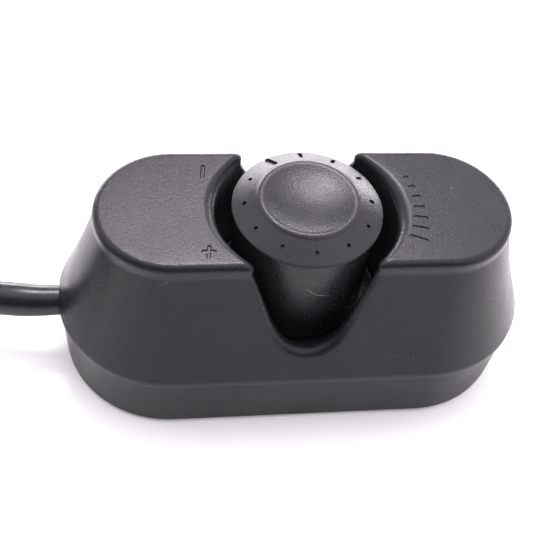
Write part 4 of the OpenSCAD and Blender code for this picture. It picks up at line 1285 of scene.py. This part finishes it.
class REMOTE_OT_studio(bpy.types.Operator):
    """Set up the white table, the soft light and the camera"""
    bl_idname = "remote.studio"
    bl_label = "Studio"

    def execute(self, context):
        s = context.scene.remote_studio
        self.camera(context, s)
        self.surround(context, s)
        self.table()
        self.softbox("light_above", place=(0.04, 0.38, 0.74), size=(0.28, 0.14),
                     power=s.softbox, colour=(1.0, 0.93, 0.985))
        self.softbox("light_horizon", place=(0.12, 0.9, 0.11), size=(1.6, 0.2),
                     power=s.horizon, colour=(1.0, 0.965, 1.0))
        context.scene.view_settings.view_transform = "Standard"
        return {"FINISHED"}

    def camera(self, context, s):
        data = bpy.data.cameras.new("camera")
        data.sensor_width = 36.0
        data.lens = s.lens
        data.clip_start = 1 * MM
        camera = bpy.data.objects.new("camera", data)
        context.scene.collection.objects.link(camera)
        camera.matrix_world = (Matrix.Translation(s.camera_at)
                               @ Matrix.Rotation(-s.camera_turn, 4, "Z")
                               @ Matrix.Rotation(math.pi / 2 - s.camera_down, 4, "X")
                               @ Matrix.Rotation(s.camera_roll, 4, "Z"))
        context.scene.camera = camera

    def surround(self, context, s):
        """White light from all round, brightest overhead and dimmest in front."""
        world = bpy.data.worlds.new("surround")
        world.use_nodes = True
        tree = world.node_tree
        background = tree.nodes["Background"]
        background.inputs["Color"].default_value = (1.0, 0.945, 1.01, 1.0)
        way = tree.nodes.new("ShaderNodeTexCoord").outputs["Generated"]
        # Darker in front and a little to the left, where no light stands
        towards = tree.nodes.new("ShaderNodeVectorMath")
        towards.operation = "DOT_PRODUCT"
        link(tree, way, towards.inputs[0])
        towards.inputs[1].default_value = (-0.4, -0.92, 0.0)
        front = range_node(tree, towards.outputs["Value"], 0.15, 0.6, s.sky,
                           s.sky * (1 - s.front_shade))
        # Brightest overhead
        parts = tree.nodes.new("ShaderNodeSeparateXYZ")
        link(tree, way, parts.inputs[0])
        high = range_node(tree, parts.outputs["Z"], 0.4, 0.75, 0.6, 1.0)
        lit = math_node(tree, "MULTIPLY", front, high)
        # Behind the object it is plain white all round
        seen = tree.nodes.new("ShaderNodeLightPath").outputs["Is Camera Ray"]
        plain = math_node(tree, "MULTIPLY", seen, s.sky)
        link(tree, math_node(tree, "MAXIMUM", lit, plain), background.inputs["Strength"])
        context.scene.world = world

    def table(self):
        """A wide pale sheet that curls up behind, so that no horizon shows."""
        bm = bmesh.new()
        half, bend = 1.5, 0.5
        line = [(-half, 0.0)]
        line += [(half - bend + bend * math.sin(a), bend - bend * math.cos(a))
                 for a in (math.pi / 2 * i / 16 for i in range(17))]
        line.append((half, half))
        add_grid(bm, [[(x, y, z) for y, z in line] for x in (-half * 2, half * 2)])
        table = solid("table", bm)
        table.data.shade_smooth()
        material, tree, shader = new_material("table_paper")
        shader.inputs["Base Color"].default_value = (0.9, 0.9, 0.9, 1.0)
        shader.inputs["Emission Color"].default_value = (1.0, 0.985, 0.99, 1.0)
        shader.inputs["Emission Strength"].default_value = 0.1
        shader.inputs["Roughness"].default_value = 0.6
        table.data.materials.append(material)

    def softbox(self, name, place, size, power, colour):
        """A lit rectangle that faces the housing."""
        aim = Vector((0, 0, 20 * MM))
        data = bpy.data.lights.new(name, "AREA")
        data.shape = "RECTANGLE"
        data.size, data.size_y = size
        data.energy = power
        data.color = colour
        light = bpy.data.objects.new(name, data)
        bpy.context.scene.collection.objects.link(light)
        light.location = place
        light.rotation_euler = (aim - Vector(place)).to_track_quat("-Z", "Y").to_euler()


class REMOTE_PT_panel(bpy.types.Panel):
    """Steps that build the remote, in order"""
    bl_idname = "REMOTE_PT_panel"
    bl_label = "Wired Volume Remote"
    bl_space_type = "VIEW_3D"
    bl_region_type = "UI"
    bl_category = "Remote"

    def draw(self, context):
        for step in STEPS:
            self.layout.operator(step.bl_idname)


SETTINGS = {"remote_housing": HousingSizes, "remote_knob": KnobSizes, "remote_lead": LeadSizes,
            "remote_finish": FinishColours, "remote_studio": StudioSettings}
STEPS = (REMOTE_OT_studio, REMOTE_OT_lead, REMOTE_OT_upper_shell, REMOTE_OT_base_cover,
         REMOTE_OT_volume_knob, REMOTE_OT_inner_parts)


def register():
    for name, group in SETTINGS.items():
        bpy.utils.register_class(group)
        setattr(bpy.types.Scene, name, bpy.props.PointerProperty(type=group))
    for item in (*STEPS, REMOTE_PT_panel):
        bpy.utils.register_class(item)


def unregister():
    for item in reversed((*STEPS, REMOTE_PT_panel)):
        bpy.utils.unregister_class(item)
    for name, group in SETTINGS.items():
        delattr(bpy.types.Scene, name)
        bpy.utils.unregister_class(group)


def main():
    register()
    bpy.ops.remote.studio()
    bpy.ops.remote.lead()
    bpy.ops.remote.upper_shell()
    bpy.ops.remote.base_cover()
    bpy.ops.remote.volume_knob()
    bpy.ops.remote.inner_parts()


if __name__ == "__main__":
    main()
